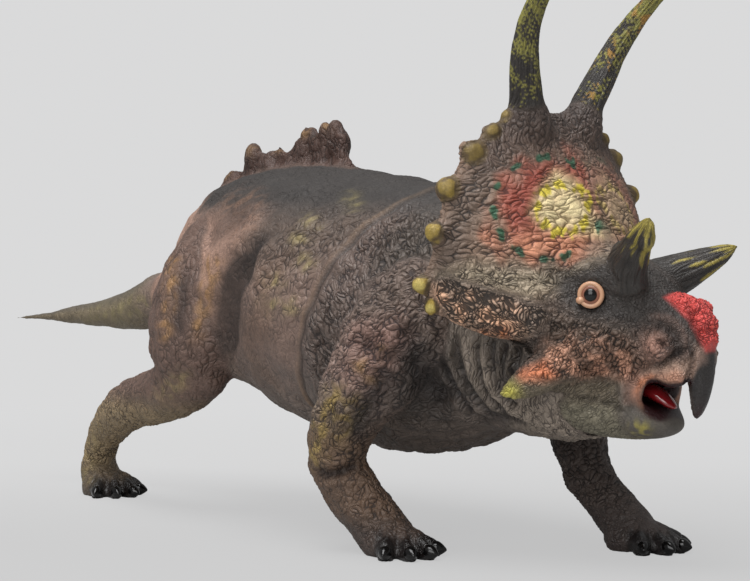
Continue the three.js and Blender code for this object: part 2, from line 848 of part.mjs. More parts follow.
const neckSocket = trunkGrown.transform(toHeadFrame.elements);
const headGrown = headForm(glueGap);
const jaw = jawSolid(0).subtract(neckSocket).subtract(mouthHollow()).subtract(tongueSolid(glueGap));
const hornPegHoles = hornSets.flatMap(([, rowsOf]) =>
  sides.map(([, side]) => hornPeg(rowsOf(side), glueGap)),
);
const head = headForm(0)
  .subtract(neckSocket)
  .subtract(jawSolid(glueGap))
  .subtract(mouthHollow())
  .subtract(tongueSolid(glueGap))
  .subtract(wasm.Manifold.union([...hornPegHoles, eyeball(1, glueGap), eyeball(-1, glueGap)]))
  .subtract(nostrilPit(1).add(nostrilPit(-1)));

// The two trunk shells meet in a stepped seam: a lip on the front shell slides into the rear one.
const lipOuter = trunkSkin(-shellWall / 2 - glueGap);
const lipSeat = trunkSkin(-shellWall / 2);
const sockets = wasm.Manifold.union([
  ...legPlugShares.map((share) => legPlug(share, glueGap)),
  plug(tailSeam, tailWay, plugRadius, plugLength, glueGap),
  crestTongue(glueGap),
]);
const lip = lipOuter.subtract(cavity).intersect(aheadOfSeam(-seamLipLength)).subtract(aheadOfSeam(shellWall));
const frontTrunk = trunkSolid
  .intersect(aheadOfSeam(glueGap / 2))
  .subtract(cavity)
  .add(lip)
  .subtract(sockets);
const rearTrunk = trunkSolid
  .intersect(slab(tailJointShare * trunkLength + glueGap, trunkLength))
  .subtract(aheadOfSeam(-glueGap / 2))
  .subtract(cavity)
  .subtract(lipSeat.intersect(aheadOfSeam(-seamLipLength - glueGap)))
  .subtract(sockets);

// Finishes.
const finishes = {
  skin: new THREE.MeshStandardMaterial({ color: 0x4a4038, roughness: 0.75 }),
  crest: new THREE.MeshStandardMaterial({ color: 0x5e4438, roughness: 0.8 }),
  horn: new THREE.MeshStandardMaterial({ color: 0x33301f, roughness: 0.55 }),
  eye: new THREE.MeshStandardMaterial({ color: 0x141414, roughness: 0.1 }),
  mouth: new THREE.MeshStandardMaterial({ color: 0x8c1414, roughness: 0.2 }),
};

function meshOf(name, solid, finish) {
  const { numProp, vertProperties, triVerts } = solid.getMesh();
  const positions = new Float32Array((vertProperties.length / numProp) * 3);
  for (let i = 0; i * numProp < vertProperties.length; i += 1) {
    positions.set(vertProperties.subarray(i * numProp, i * numProp + 3), i * 3);
  }
  const geometry = new THREE.BufferGeometry()
    .setAttribute("position", new THREE.BufferAttribute(positions, 3))
    .setIndex(new THREE.BufferAttribute(triVerts, 1));
  geometry.computeVertexNormals();
  const mesh = new THREE.Mesh(geometry, finish);
  mesh.name = name;
  return mesh;
}

const figure = new THREE.Group();
figure.add(
  meshOf("front_trunk", frontTrunk, finishes.skin),
  meshOf("rear_trunk", rearTrunk, finishes.skin),
  meshOf("tail", tail, finishes.skin),
  meshOf("back_crest", backCrest, finishes.crest),
  meshOf("right_foreleg", rightForeleg, finishes.skin),
  meshOf("left_foreleg", leftForeleg, finishes.skin),
  meshOf("right_hindleg", rightHindleg, finishes.skin),
  meshOf("left_hindleg", leftHindleg, finishes.skin),
);

const headGroup = new THREE.Group();
headGroup.applyMatrix4(headFrame);
headGroup.add(
  meshOf("head", head, finishes.skin),
  meshOf("lower_jaw", jaw, finishes.skin),
  meshOf("tongue", tongueSolid(0), finishes.mouth),
);
for (const [sideName, side] of sides) {
  headGroup.add(meshOf(`${sideName}_eye`, eyeball(side, 0), finishes.eye));
  for (const [hornName, rowsOf, steps] of hornSets) {
    const rows = rowsOf(side);
    const horn = limbOf(rows, steps, 10).subtract(headGrown).add(hornPeg(rows, 0));
    headGroup.add(meshOf(`${sideName}_${hornName}`, horn, finishes.horn));
  }
}
figure.add(headGroup);

// The origin is the bottom centre of the figure's box.
figure.updateMatrixWorld(true);
const box = new THREE.Box3().setFromObject(figure, true);
const middle = box.getCenter(new THREE.Vector3());
figure.position.set(-middle.x, -middle.y, -box.min.z);

export default figure;
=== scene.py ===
# A moulded and painted soft-vinyl horned dinosaur in mid stride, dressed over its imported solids.
# Lengths are in millimetres until they reach Blender, which works in metres.

import math

import bpy
import numpy as np
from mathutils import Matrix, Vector
from mathutils.bvhtree import BVHTree


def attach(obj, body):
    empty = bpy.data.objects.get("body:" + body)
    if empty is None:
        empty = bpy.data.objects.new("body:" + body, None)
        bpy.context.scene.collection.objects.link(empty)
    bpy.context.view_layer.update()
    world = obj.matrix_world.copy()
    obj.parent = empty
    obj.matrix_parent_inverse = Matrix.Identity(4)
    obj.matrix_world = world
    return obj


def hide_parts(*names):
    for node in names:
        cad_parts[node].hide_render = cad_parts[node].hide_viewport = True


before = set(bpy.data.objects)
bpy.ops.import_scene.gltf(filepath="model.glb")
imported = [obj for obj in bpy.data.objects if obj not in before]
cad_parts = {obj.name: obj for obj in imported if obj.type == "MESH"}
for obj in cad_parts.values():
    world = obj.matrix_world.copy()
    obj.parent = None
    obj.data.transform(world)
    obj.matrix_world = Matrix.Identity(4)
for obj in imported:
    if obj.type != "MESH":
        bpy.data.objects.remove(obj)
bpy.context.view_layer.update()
scene = bpy.context.scene
scene.view_settings.view_transform = "Standard"
MM = 0.001

# The camera. It stands level at the height of the animal's eye and sees its right side from
# well ahead of it. The photograph's frame is 750 by 581 points.
photo_width, photo_height = 750, 581
lens, sensor = 96.0, 36.0
horizon_row = 250.0
points_per_slope = photo_width * lens / sensor
camera_place = np.array([305.94, -223.0, 50.4])
look = np.array([-0.788, 0.6157, 0.0])
rightward = np.array([0.6157, 0.788, 0.0])
camera = bpy.data.objects.new("camera", bpy.data.cameras.new("camera"))
scene.collection.objects.link(camera)
camera.data.lens, camera.data.sensor_width = lens, sensor
camera.data.shift_y = (horizon_row - photo_height / 2) / photo_width
camera.data.clip_start = 0.01
camera.location = Vector(camera_place) * MM
camera.rotation_euler = (math.pi / 2, 0, math.radians(52.0))
scene.camera = camera

# The skin of the trunk, tail, crest and legs. The real pieces are soft vinyl castings whose
# glued roots are painted over, so one hide runs over all of them and is cut along their joints.
body_nodes = ["front_trunk", "rear_trunk", "tail", "back_crest"]
body_nodes += ["right_foreleg", "left_foreleg", "right_hindleg", "left_hindleg"]
horn_names = ["left_frill_horn", "right_frill_horn", "left_brow_horn", "right_brow_horn"]
head_nodes = ["head", "lower_jaw"] + horn_names
body_grain, head_grain = 0.38, 0.29
swelling = 0.2
dome_width = 0.38
spine_y = 1.19


def only(*pieces):
    bpy.ops.object.select_all(action="DESELECT")
    for piece in pieces:
        piece.select_set(True)
    bpy.context.view_layer.objects.active = pieces[0]


def joined(name, pieces):
    only(*pieces)
    bpy.ops.object.join()
    pieces[0].name = pieces[0].data.name = name
    return pieces[0]


def edited(operator, **settings):
    """Runs one mesh operator over all of the active piece."""
    bpy.ops.object.mode_set(mode="EDIT")
    bpy.ops.mesh.select_all(action="SELECT")
    operator(**settings)
    bpy.ops.object.mode_set(mode="OBJECT")


def column(items, name, width=3, kind=np.float64):
    values = np.empty(len(items) * width, kind)
    items.foreach_get(name, values)
    return values.reshape(-1, width) if width > 1 else values


def copy_of(name):
    """The solid's own triangles as a fresh object, with its doubles merged."""
    piece = bpy.data.objects.new(name + "_copy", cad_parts[name].data.copy())
    scene.collection.objects.link(piece)
    only(piece)
    edited(bpy.ops.mesh.remove_doubles, threshold=1e-6)
    return piece


def casting(name, nodes, grain, fillers=()):
    """One watertight skin over several solids: their glue gaps close and the hollow goes."""
    parts = [copy_of(n) for n in nodes]
    for part in parts:
        points = column(part.data.vertices, "co") + swelling * MM * column(part.data.vertices, "normal")
        part.data.vertices.foreach_set("co", points.ravel())
    cast = joined(name, parts + list(fillers))
    cast.data.remesh_voxel_size = grain * MM
    bpy.ops.object.voxel_remesh()
    edited(bpy.ops.mesh.separate, type="LOOSE")
    loose = [o for o in bpy.context.selected_objects if o.type == "MESH"]
    loose.sort(key=lambda o: max(o.dimensions), reverse=True)
    for inner in loose[1:]:
        bpy.data.objects.remove(inner)
    return loose[0]


def tint(code):
    """A colour written as red, green and blue of 255, as Blender counts light."""
    c = np.array([int(code[i : i + 2], 16) for i in (0, 2, 4)]) / 255
    return np.where(c <= 0.04045, c / 12.92, ((c + 0.055) / 1.055) ** 2.4)


def ease(values, low, high):
    t = np.clip((values - low) / (high - low), 0, 1)
    return t * t * (3 - 2 * t)


def bell(values, width):
    return np.exp(-((values / width) ** 2))


def blend(base, colour, mask):
    mask = np.clip(mask, 0, 1)[:, None]
    return base * (1 - mask) + colour * mask


def ripples(points, length, seed, stretch=(1, 1, 1), waves=14):
    """A field of waves of one length running every way, about -2 to 2."""
    rng = np.random.default_rng(seed)
    ways = rng.normal(size=(waves, 3))
    ways /= np.linalg.norm(ways, axis=1, keepdims=True)
    phase = rng.uniform(0, 2 * math.pi, waves)
    turned = (points * np.array(stretch)) @ ways.T * (2 * math.pi / length) + phase
    return np.cos(turned).sum(1) * math.sqrt(2 / waves)


def fill(tree, node, inputs):
    """Gives a node's inputs their values, or links them to the sockets that feed them."""
    for name, value in dict(inputs).items():
        if isinstance(value, bpy.types.NodeSocket):
            tree.links.new(value, node.inputs[name])
        else:
            node.inputs[name].default_value = value
    return node


def add_node(tree, kind, inputs=(), **settings):
    node = tree.nodes.new(kind)
    for name, value in settings.items():
        setattr(node, name, value)
    return fill(tree, node, inputs)


def scale_edges(tree, flow):
    """How far each spot lies inside its scale, where the flow counts the scales."""
    inputs = {"Vector": flow, "Scale": 1.0}
    return add_node(tree, "ShaderNodeTexVoronoi", inputs, feature="DISTANCE_TO_EDGE").outputs["Distance"]


class Hide:
    """A casting's points in millimetres, with the relief and the paint that go on them."""

    def __init__(self, name, nodes, grain, fillers=()):
        self.cast, self.nodes = casting(name, nodes, grain, fillers), nodes
        mesh = self.cast.data
        self.points = column(mesh.vertices, "co") / MM
        self.edges = column(mesh.edges, "vertices", 2, np.int32)
        self.faces = column(mesh.polygons, "vertices", 4, np.int32)
        a, b = self.edges.T
        count = len(self.points)
        self.neighbours = np.bincount(a, minlength=count) + np.bincount(b, minlength=count)
        self.owner = self.nearest_node()
        self.raised, self.relief, self.creased, self.gape = np.zeros((4, count))
        self.shine, self.joint = np.full(count, 0.5), np.ones(count)
        self.flow, self.paint, self.wash = np.zeros((3, count, 3))

    def nearest_node(self):
        corners, faces, owners = [], [], []
        for i, name in enumerate(self.nodes):
            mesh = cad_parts[name].data
            start = sum(len(c) for c in corners)
            corners.append(column(mesh.vertices, "co") / MM)
            triangles = column(mesh.polygons, "vertices", 3, np.int32)
            faces.append(triangles + start)
            owners += [i] * len(triangles)
        tree = BVHTree.FromPolygons(np.concatenate(corners).tolist(), np.concatenate(faces).tolist())
        return np.array([owners[tree.find_nearest(p)[2]] for p in self.points.tolist()])

    def around(self, values):
        """The middle of each point's neighbours, for one or several values a point."""
        a, b = self.edges.T
        count = len(self.points)
        flat = values.reshape(count, -1)
        total = [np.bincount(a, v[b], count) + np.bincount(b, v[a], count) for v in flat.T]
        return (np.stack(total, 1) / self.neighbours[:, None]).reshape(values.shape)

    def relax(self, share, turns):
        for _ in range(turns):
            self.points += share[:, None] * (self.around(self.points) - self.points)

    def soften(self, values, turns):
        for _ in range(turns):
            values = self.around(values)
        return values

    def normals(self):
        p = self.points[self.faces]
        flat = np.cross(p[:, 2] - p[:, 0], p[:, 3] - p[:, 1])
        total = np.zeros_like(self.points)
        for k in range(4):
            for axis in range(3):
                total[:, axis] += np.bincount(self.faces[:, k], flat[:, axis], len(self.points))
        return total / (np.linalg.norm(total, axis=1, keepdims=True) + 1e-12)

    def part(self, *names):
        """How far each point belongs to these nodes, from 0 to 1, with a soft edge."""
        hits = np.isin(self.owner, [self.nodes.index(n) for n in names if n in self.nodes])
        return self.soften(hits.astype(float), 6)

    def scales(self, mask, cell, depth, seed, turn=0.0, bend=0.22):
        """Lays scales of one size, lean and depth in millimetres wherever the mask is on.

        flow counts scales along three axes; its bends keep any two scales from looking alike."""
        c, s = math.cos(math.radians(turn)), math.sin(math.radians(turn))
        mean = float(np.prod(cell)) ** (1 / 3)
        wide = np.stack([ripples(self.laid, mean * 3.4, seed + i, waves=8) for i in range(3)], 1)
        close = np.stack([ripples(self.laid, mean * 1.7, seed + i, waves=8) for i in (7, 8, 9)], 1)
        leaned = self.laid @ np.array([[c, 0, s], [0, 1, 0], [-s, 0, c]])
        flow = (leaned + bend * mean * (wide + 0.45 * close)) / np.array(cell) + seed
        on = mask + 0.12 * ripples(self.laid, 3.0, seed + 5, waves=8) > 0.5
        self.knit(on)
        self.flow = np.where(on[:, None], flow, self.flow)
        self.relief = self.relief * (1 - mask) + depth * mask

    def knit(self, on):
        """Fades the scales out along the line where two kinds of them meet."""
        met = np.abs(self.soften(on.astype(float), 3) - 0.5)
        self.joint = np.minimum(np.where(on, 1.0, self.joint), ease(met, 0.2, 0.48))

    def emboss(self):
        """Raises every scale. Geometry nodes measure the same cells that the vinyl will draw."""
        self.relief *= 0.15 + 0.85 * self.joint
        self.shift = np.maximum(0.04 + 0.075 * ripples(self.flow, 2.3, 5), -0.01) - self.gape
        held = self.cast.data.attributes.new("flow", "FLOAT_VECTOR", "POINT")
        held.data.foreach_set("vector", self.flow.astype(np.float32).ravel())
        tree = bpy.data.node_groups.new("scale_probe", "GeometryNodeTree")
        for way in ("INPUT", "OUTPUT"):
            tree.interface.new_socket("Skin", in_out=way, socket_type="NodeSocketGeometry")
        skin = add_node(tree, "NodeGroupInput").outputs[0]
        flow = add_node(tree, "GeometryNodeInputNamedAttribute", {"Name": "flow"}, data_type="FLOAT_VECTOR")
        inputs = {"Geometry": skin, "Name": "border", "Value": scale_edges(tree, flow.outputs["Attribute"])}
        keep = add_node(tree, "GeometryNodeStoreNamedAttribute", inputs, data_type="FLOAT", domain="POINT")
        add_node(tree, "NodeGroupOutput", {0: keep.outputs["Geometry"]})
        self.cast.modifiers.new("probe", "NODES").node_group = tree
        measured = self.cast.evaluated_get(bpy.context.evaluated_depsgraph_get())
        border = column(measured.data.attributes["border"].data, "value", 1)
        self.raised += self.relief * (1.2 * ease(border + self.shift, 0.0, dome_width) - 0.6)
        self.points = self.points + self.normals() * self.raised[:, None]
        self.points[:, 2] = np.maximum(self.points[:, 2], 0.0)
        self.surface = self.normals()

    def place(self, far, middle, sideway):
        """Finds each point in the photograph's frame, with the far half mirrored onto the near one."""
        self.far, self.sideway = far[:, None], sideway
        self.near = self.points - 2 * self.far * ((self.points - middle) @ sideway)[:, None] * sideway
        self.places = seen(self.near)

    def face(self, low, high):
        """Finds how openly each point, or its mirror image, faces the camera."""
        normals = self.normals()
        normals = normals - 2 * self.far * (normals @ self.sideway)[:, None] * self.sideway
        away = self.near - camera_place
        away /= np.linalg.norm(away, axis=1, keepdims=True)
        self.shown = ease(-(normals * away).sum(1), low, high)

    def coat(self, mask, tops, grooves):
        """One colour brushed on the scales and another washed into the cracks between them."""
        self.paint = blend(self.paint, tint(tops), mask)
        self.wash = blend(self.wash, tint(grooves), mask)

    def daub(self, colour, spots, reach, strength, on):
        """Dry-brushed touches of one colour round places drawn on the photograph's frame."""
        mask = np.zeros(len(self.paint))
        for spot in spots:
            line = spot if isinstance(spot, list) else [spot, (spot[0] + 1, spot[1] + 1)]
            gap, _ = off_line(self.places, line)
            mask = np.maximum(mask, bell(gap, reach))
        broken = 0.25 + 0.75 * ease(ripples(self.laid, 2.6, 83), -0.4, 0.8)
        self.paint = blend(self.paint, tint(colour), mask * strength * broken * self.shown * on)

    def press(self, on, width, depth, line, lip=0.0, ends=0.12):
        """Presses a fold of some width and depth into the skin, with a raised lip on each side, and paints
        shade into the fold.
        """
        gap, along = off_line(self.places, line)
        fade = ease(along, -0.01, ends) * ease(1 - along, -0.01, ends) * on * self.shown
        edge = lip * bell(gap - 1.9 * width, width)
        self.raised += fade * (edge - depth * bell(gap, width))
        self.creased += min(1.6 * depth, 1.0) * fade * bell(gap, width)


def seen(points):
    """Where points show in the photograph's frame: column, row, and millimetres per frame point."""
    away = points - camera_place
    depth = away @ look
    across = photo_width / 2 + points_per_slope * (away @ rightward) / depth
    down = horizon_row - points_per_slope * away[:, 2] / depth
    return np.stack([across, down, depth / points_per_slope], 1)


def off_line(places, line):
    """Distance in millimetres from places in the frame to a drawn line, and the share along it."""
    best = np.full(len(places), 1e9)
    along = np.zeros(len(places))
    line = np.array(line, float)
    lengths = np.linalg.norm(np.diff(line, axis=0), axis=1)
    starts = np.concatenate([[0], np.cumsum(lengths)])
    for a, b, start, length in zip(line[:-1], line[1:], starts, lengths):
        t = np.clip(((places[:, :2] - a) @ (b - a)) / length**2, 0, 1)
        gap = np.linalg.norm(places[:, :2] - a - t[:, None] * (b - a), axis=1) * places[:, 2]
        nearer = gap < best
        best = np.where(nearer, gap, best)
        along = np.where(nearer, (start + t * length) / starts[-1], along)
    return best, along


def inside(hide, outline, soft=1.0):
    """1 inside an outline drawn on the photograph's frame, with an edge some millimetres soft."""
    places = hide.places
    ring = np.array(outline + outline[:1], float)
    crossed = np.zeros(len(places), bool)
    for (ax, ay), (bx, by) in zip(ring[:-1], ring[1:]):
        spans = (ay > places[:, 1]) != (by > places[:, 1])
        if ay != by:
            crossed ^= spans & (places[:, 0] < (bx - ax) * (places[:, 1] - ay) / (by - ay) + ax)
    gap, _ = off_line(places, ring)
    return ease(np.where(crossed, gap, -gap), -soft, soft)


body = Hide("body_skin", body_nodes + ["head", "lower_jaw"], body_grain)
arm_part = body.part("right_foreleg", "left_foreleg")
leg_part = body.part("right_hindleg", "left_hindleg")
tail_part = body.part("tail")
limbs = arm_part + leg_part
fin = body.part("back_crest")
soles = ease(body.points[:, 2], 8.5, 5.0) * limbs
firmness = (1.0 - 0.72 * limbs) * (1 - 0.97 * fin) * (1 - 0.93 * soles)
body.relax(np.clip(body.soften(firmness, 20), 0.01, 1), 110)
body.laid = body.points.copy()
x, y, z = body.points.T

# Folds and hollows of the hide. Each is drawn as a line on the photograph's frame and pressed
# into the skin that shows there; the trunk's left side gets them mirrored.
on_trunk = body.part("front_trunk", "rear_trunk")
trunk = np.clip(on_trunk + fin + tail_part, 0, 1)
right_legs = body.part("right_foreleg", "right_hindleg")
body.place((trunk > 0.5) & (y > spine_y), (0, spine_y, 0), np.array([0, 1.0, 0]))
body.face(0.05, 0.3)

seam_place, seam_lean = np.array([32.6, 0.0, 35.97]), math.radians(24)
seam_way = np.array([math.cos(seam_lean), 0, -math.sin(seam_lean)])
off_seam = (body.points - seam_place) @ seam_way
seam_groove = bell(off_seam, 0.3) * on_trunk
body.raised += on_trunk * 0.22 * bell(off_seam + 1.1, 0.8) - 0.42 * seam_groove
# The seam's groove is darkened: the joint's own dark line, and painted shade in the groove.
body.creased += 0.85 * seam_groove
# Painted shadow: the hollow in front of the thigh is darkened where the fold's shade falls.
thigh_hollow_shade = [(244, 254), (232, 272), (229, 300), (230, 350)]
thigh_hollow_shade += [(222, 356), (214, 330), (216, 292), (226, 266)]
haunch_on = np.clip(on_trunk * ease(spine_y - y, -6, 2) + 0.8 * right_legs, 0, 1)
thigh_fold = [(284, 226), (266, 236), (254, 248), (240, 264), (231, 284)]
thigh_fold += [(226, 306), (226, 330), (230, 352), (234, 370)]
thigh_valley = [(258, 242), (240, 262), (228, 284), (223, 306), (224, 334), (230, 366)]
body.press(haunch_on, 0.9, 0.9, thigh_fold, 0.0, 0.2)
body.press(haunch_on, 2.6, 1.9, thigh_valley, 0.35, 0.3)
body.creased += 0.85 * inside(body, thigh_hollow_shade, 1.2) * haunch_on
hip_fold = [(262, 206), (236, 218), (214, 236), (204, 258)]
body.press(haunch_on, 2.2, 0.5, hip_fold, 0.3, 0.4)
rump_fold = [(188, 258), (181, 300), (176, 350)]
body.press(haunch_on, 1.7, 0.6, rump_fold, 0.3, 0.3)
neck_folds = [
    [(432, 318), (438, 345), (446, 372), (458, 393), (474, 412), (498, 427)],
    [(458, 330), (457, 350), (462, 373), (473, 395), (490, 413), (515, 426)],
    [(477, 334), (477, 360), (480, 380), (490, 398), (508, 417), (530, 430)],
    [(493, 335), (492, 358), (495, 380), (503, 396), (520, 412)],
    [(506, 340), (502, 363), (503, 382), (512, 396)],
    [(520, 345), (514, 365), (512, 384)],
]
for fold in neck_folds:
    body.press(on_trunk, 0.55, 0.75, fold, 0.35)
arm_to_chest = [(398, 322), (408, 340), (414, 358), (422, 376), (434, 394), (452, 410)]
body.press(haunch_on, 2.4, 1.6, arm_to_chest, 0.3)
wrist_fold = [(314, 470), (326, 475), (340, 473), (360, 464)]
body.press(right_legs, 0.8, 0.8, wrist_fold, 0.4)
foreleg_valley = [(392, 366), (378, 388), (364, 416), (352, 446)]
body.press(right_legs, 2.4, 0.8, foreleg_valley)
upper_arm_fold = [(352, 330), (366, 346), (384, 356), (404, 362)]
body.press(haunch_on, 1.6, 0.7, upper_arm_fold, 0.4, 0.3)
body.raised += 0.16 * ripples(body.laid, 9, 3) * on_trunk + 0.1 * ripples(body.laid, 5, 4) * (1 - fin)

# Toes: four on each foot, bulging over its front with a groove between any two.
feet = {
    "right_fore": ((47.1, -16.8), -6),
    "left_fore": ((67.7, 19.2), 6),
    "right_hind": ((-53.3, -12.4), -4),
    "left_hind": ((-6.9, 15.3), 8),
}
toe_reach, toe_spread = 7.5, 5.3
toe_tips = np.zeros(len(x))
for (foot_x, foot_y), foot_turn in feet.values():
    turn = math.radians(foot_turn)
    off_x, off_y = x - foot_x, y - foot_y
    fore = (off_x * math.cos(turn) + off_y * math.sin(turn)) / toe_reach
    side = (off_y * math.cos(turn) - off_x * math.sin(turn)) / toe_spread
    fan, out = np.degrees(np.arctan2(side, fore)), np.hypot(fore, side)
    on_toes = limbs * ease(out, 0.45, 0.8) * ease(2.0 - out, 0, 0.3) * ease(84 - np.abs(fan), 0, 16)
    toe_wave = np.cos(np.radians(10 * (fan - 18)))
    on_foot = on_toes * ease(8.0 - z, 0, 4.5)
    body.raised += on_foot * (0.15 + 0.5 * toe_wave)
    # Painted shade in the grooves between the toes.
    body.creased += 0.8 * on_foot * ease(-toe_wave, 0.35, 1.0)
    toe_tips = np.maximum(toe_tips, on_toes * ease(5.8 - z, 0, 2.6) * ease(out, 0.6, 0.9))
body.creased = np.clip(body.creased, 0, 1)

# The relief of the hide: crisp angular scales on the shoulders and upper arms, faint drawn-out
# ones on the flanks, small ones on the lower legs, upright folds on the neck and the crest.
shin = limbs * ease(z, 25, 18)
hoof = limbs * ease(z, 8.5, 3.0)
shoulder = np.clip(ease(off_seam, -1.5, 1.0) * on_trunk + arm_part * (1 - shin), 0, 1)
chest, rear = on_trunk * shoulder, on_trunk * (1 - shoulder)
neck = on_trunk * ease(x + 0.25 * (z - 30), 60, 66)
back = on_trunk * ease(z + 0.34 * np.clip(x + 20, -40, 0), 54, 60)
under = ease(-body.normals()[:, 2], 0.25, 0.9) * on_trunk
crisp = 0.6 + 0.4 * ease(ripples(body.laid, 16, 73), -1, 0.6)
seam_calm = bell(off_seam, 1.6) * on_trunk
body.scales(np.ones(len(x)), (1.0, 1.0, 1.7), 0.1, 11, 24)
body.scales(rear, (0.95, 1.1, 1.8), 0.1, 12, 24)
body.relief += 0.08 * rear * ease(off_seam, -26, -12) * ease(z, 30, 42)
body.scales(chest, (0.8, 1.0, 1.6), 0.34, 14, -32)
body.scales(back * (1 - neck), (1.1, 1.0, 1.0), 0.09, 15)
body.scales(under, (1.2, 1.2, 1.2), 0.12, 16)
body.scales(leg_part, (1.1, 1.1, 1.8), 0.13, 17)
body.scales(arm_part, (1.6, 1.1, 0.8), 0.34, 18, -30)
body.scales(shin, (0.95, 0.95, 1.05), 0.2, 19)
body.scales(hoof, (0.8, 0.8, 0.8), 0.1, 20)
body.scales(neck, (0.55, 0.85, 2.2), 0.22, 21, 18)
body.scales(tail_part, (0.9, 1.3, 1.6), 0.07, 22)
body.scales(fin, (0.9, 0.9, 2.0), 0.13, 23)
body.relief *= 1 - 0.9 * seam_calm
body.relief *= crisp * (1 - 0.85 * toe_tips)
body.raised += fin * 0.5 * ripples(body.laid, 5.2, 31, (1, 1, 0.3))
body.raised += fin * 0.22 * ripples(body.laid, 2.6, 32, (1, 1, 0.5))
dents = ripples(body.laid, 3.6, 33, (1.1, 1, 0.7))
body.raised += 0.13 * dents * shoulder * (1 - shin)

# Paint. A dark wash lies in every crack, and the tops of the scales are dry-brushed: brown,
# charcoal on the back, ochre streaks on the haunch, near black on the feet.
blotch = ease(ripples(body.laid, 13, 71), -0.9, 1.1)
body.coat(np.ones(len(x)), "74625a", "33292a")
near_neck = on_trunk * ease(x + 0.25 * (z - 30), 48, 60)
body.coat(rear * (0.5 + 0.5 * blotch), "665145", "33261f")
body.coat(rear * ease(z, 42, 54) * ease(off_seam, -36, -26), "50433b", "2a201c")
body.coat(on_trunk * ease(off_seam, -22, -36) * (0.9 - 0.62 * ease(y, 2, 9)), "a08070", "47342f")
body.coat(chest * (0.7 + 0.3 * blotch), "493e38", "1e1716")
body.coat(near_neck * 0.8, "4e4741", "211c1a")
body.coat(back, "302c2a", "201c1b")
# Painted shade: the trunk's downward-facing underside is painted darker, as less light reaches it.
body.coat(under * 0.9, "61564e", "2e2624")
body.coat(arm_part, "5e5048", "2e2423")
pink_arm = [(338, 348), (352, 326), (398, 318), (408, 340), (396, 368), (374, 396), (346, 392), (330, 370)]
body.coat(inside(body, pink_arm, 3.0) * arm_part * (0.55 + 0.45 * blotch), "83655b", "3a2a2b")
body.coat(arm_part * shin, "574436", "221814")
body.coat(leg_part, "5f4b42", "30241f")
body.coat(leg_part * shin, "79684f", "3b2f22")
body.coat(leg_part * ease(z, 38, 32) * ease(z, 19, 26), "5d4940", "33271f")
past_root = ease(x[tail_part > 0.5].max() - x, 0, 9)
body.coat(tail_part * past_root, "6b604e", "4a4235")
body.coat(fin, "44312a", "241a17")
body.coat(neck * 0.9, "82766a", "302825")
# Painted shade: the left legs, on the far side, are painted darker, the hind one towards its foot.
body.coat(body.part("left_foreleg") * 0.8, "3a3331", "171312")
body.coat(body.part("left_hindleg") * 0.7 * ease(z, 34, 22), "3a3331", "171312")
body.coat(hoof * 0.75, "372e2b", "171313")
body.coat(toe_tips * 0.95, "161313", "0c0a0a")
# Painted shade: the recess at the root of the neck, under the head, is darkened.
neck_shade_outline = [(480, 335), (520, 330), (548, 322), (550, 350), (536, 372), (505, 382), (490, 365)]
body.coat(0.6 * inside(body, neck_shade_outline, 2.0) * on_trunk * body.shown, "2a2421", "14100f")
# Painted shade between the foreleg and the chest.
armpit_shade_outline = [(398, 352), (424, 340), (448, 350), (456, 392), (456, 424), (404, 424), (388, 396)]
body.coat(0.7 * inside(body, armpit_shade_outline, 2.5) * body.shown, "2d2723", "171311")
haunch_streaks = [[(174, 262), (170, 300), (165, 335)], [(213, 262), (205, 300), (197, 336)]]
body.daub("9a7344", haunch_streaks, 1.2, 0.75, haunch_on)
hip_streaks = [[(232, 206), (250, 200)], [(246, 222), (232, 232)]]
body.daub("8f6a52", hip_streaks, 2.4, 0.35, haunch_on)
crest_touches = [(225, 173), (250, 148), (275, 144), (303, 131), (324, 124)]
body.daub("8c6c40", crest_touches, 1.3, 0.5, fin)
flank_touches = [(310, 222), (299, 238), (276, 282), (270, 304), (290, 306), (304, 262), (352, 202)]
body.daub("8d8050", flank_touches, 1.5, 0.5, on_trunk)
seam_ochre = bell(off_seam + 0.75, 0.45) * on_trunk * body.shown
body.paint = blend(body.paint, tint("8e6d48"), 0.45 * seam_ochre * (0.3 + 0.7 * blotch))
foreleg_streaks = [[(334, 398), (322, 425), (316, 455)], [(352, 408), (338, 436)]]
body.daub("85703f", foreleg_streaks, 2.0, 0.85, limbs)
elbow_touches = [(372, 378), (362, 366), (380, 352)]
body.daub("8b6a3a", elbow_touches, 1.3, 0.6, limbs)
tail_streaks = [[(100, 312), (150, 305)]]
body.daub("7d7350", tail_streaks, 3.0, 0.6, tail_part)
body.coat(tail_part * past_root * ease(body.normals()[:, 2], 0.2, 0.8) * 0.6, "4b4640", "3a352f")
hindleg_streaks = [[(92, 430), (84, 480)], [(165, 392), (180, 380)]]
body.daub("8c7b55", hindleg_streaks, 1.8, 0.6, limbs)
# Painted shade: every crease, fold, groove and hollow gathered above is darkened where shade falls.
body.coat(body.creased * 0.8, "1d1716", "1d1716")
body.shine = 0.46 + 0.08 * blotch - 0.08 * chest - 0.1 * hoof - 0.2 * toe_tips + 0.14 * back
body.emboss()


# Cutting the hide along the pieces' joints. Each piece is closed behind its cut, keeps the
# shading of the whole skin, and carries its paint, its shine and its scales with it.
carried = {"paint": "Color", "wash": "Color", "flow": "Vector"}
carried |= {"shine": "Float", "relief": "Float", "shift": "Float"}
skin_names = {"front_trunk": "chest_skin", "rear_trunk": "belly_and_rump_skin"}
skin_names |= {"back_crest": "crest_of_spines", "head": "skull_and_frill_skin"}
slots = {"back_crest": "crest"} | dict.fromkeys(horn_names, "horn")
cap_depth = 2.0


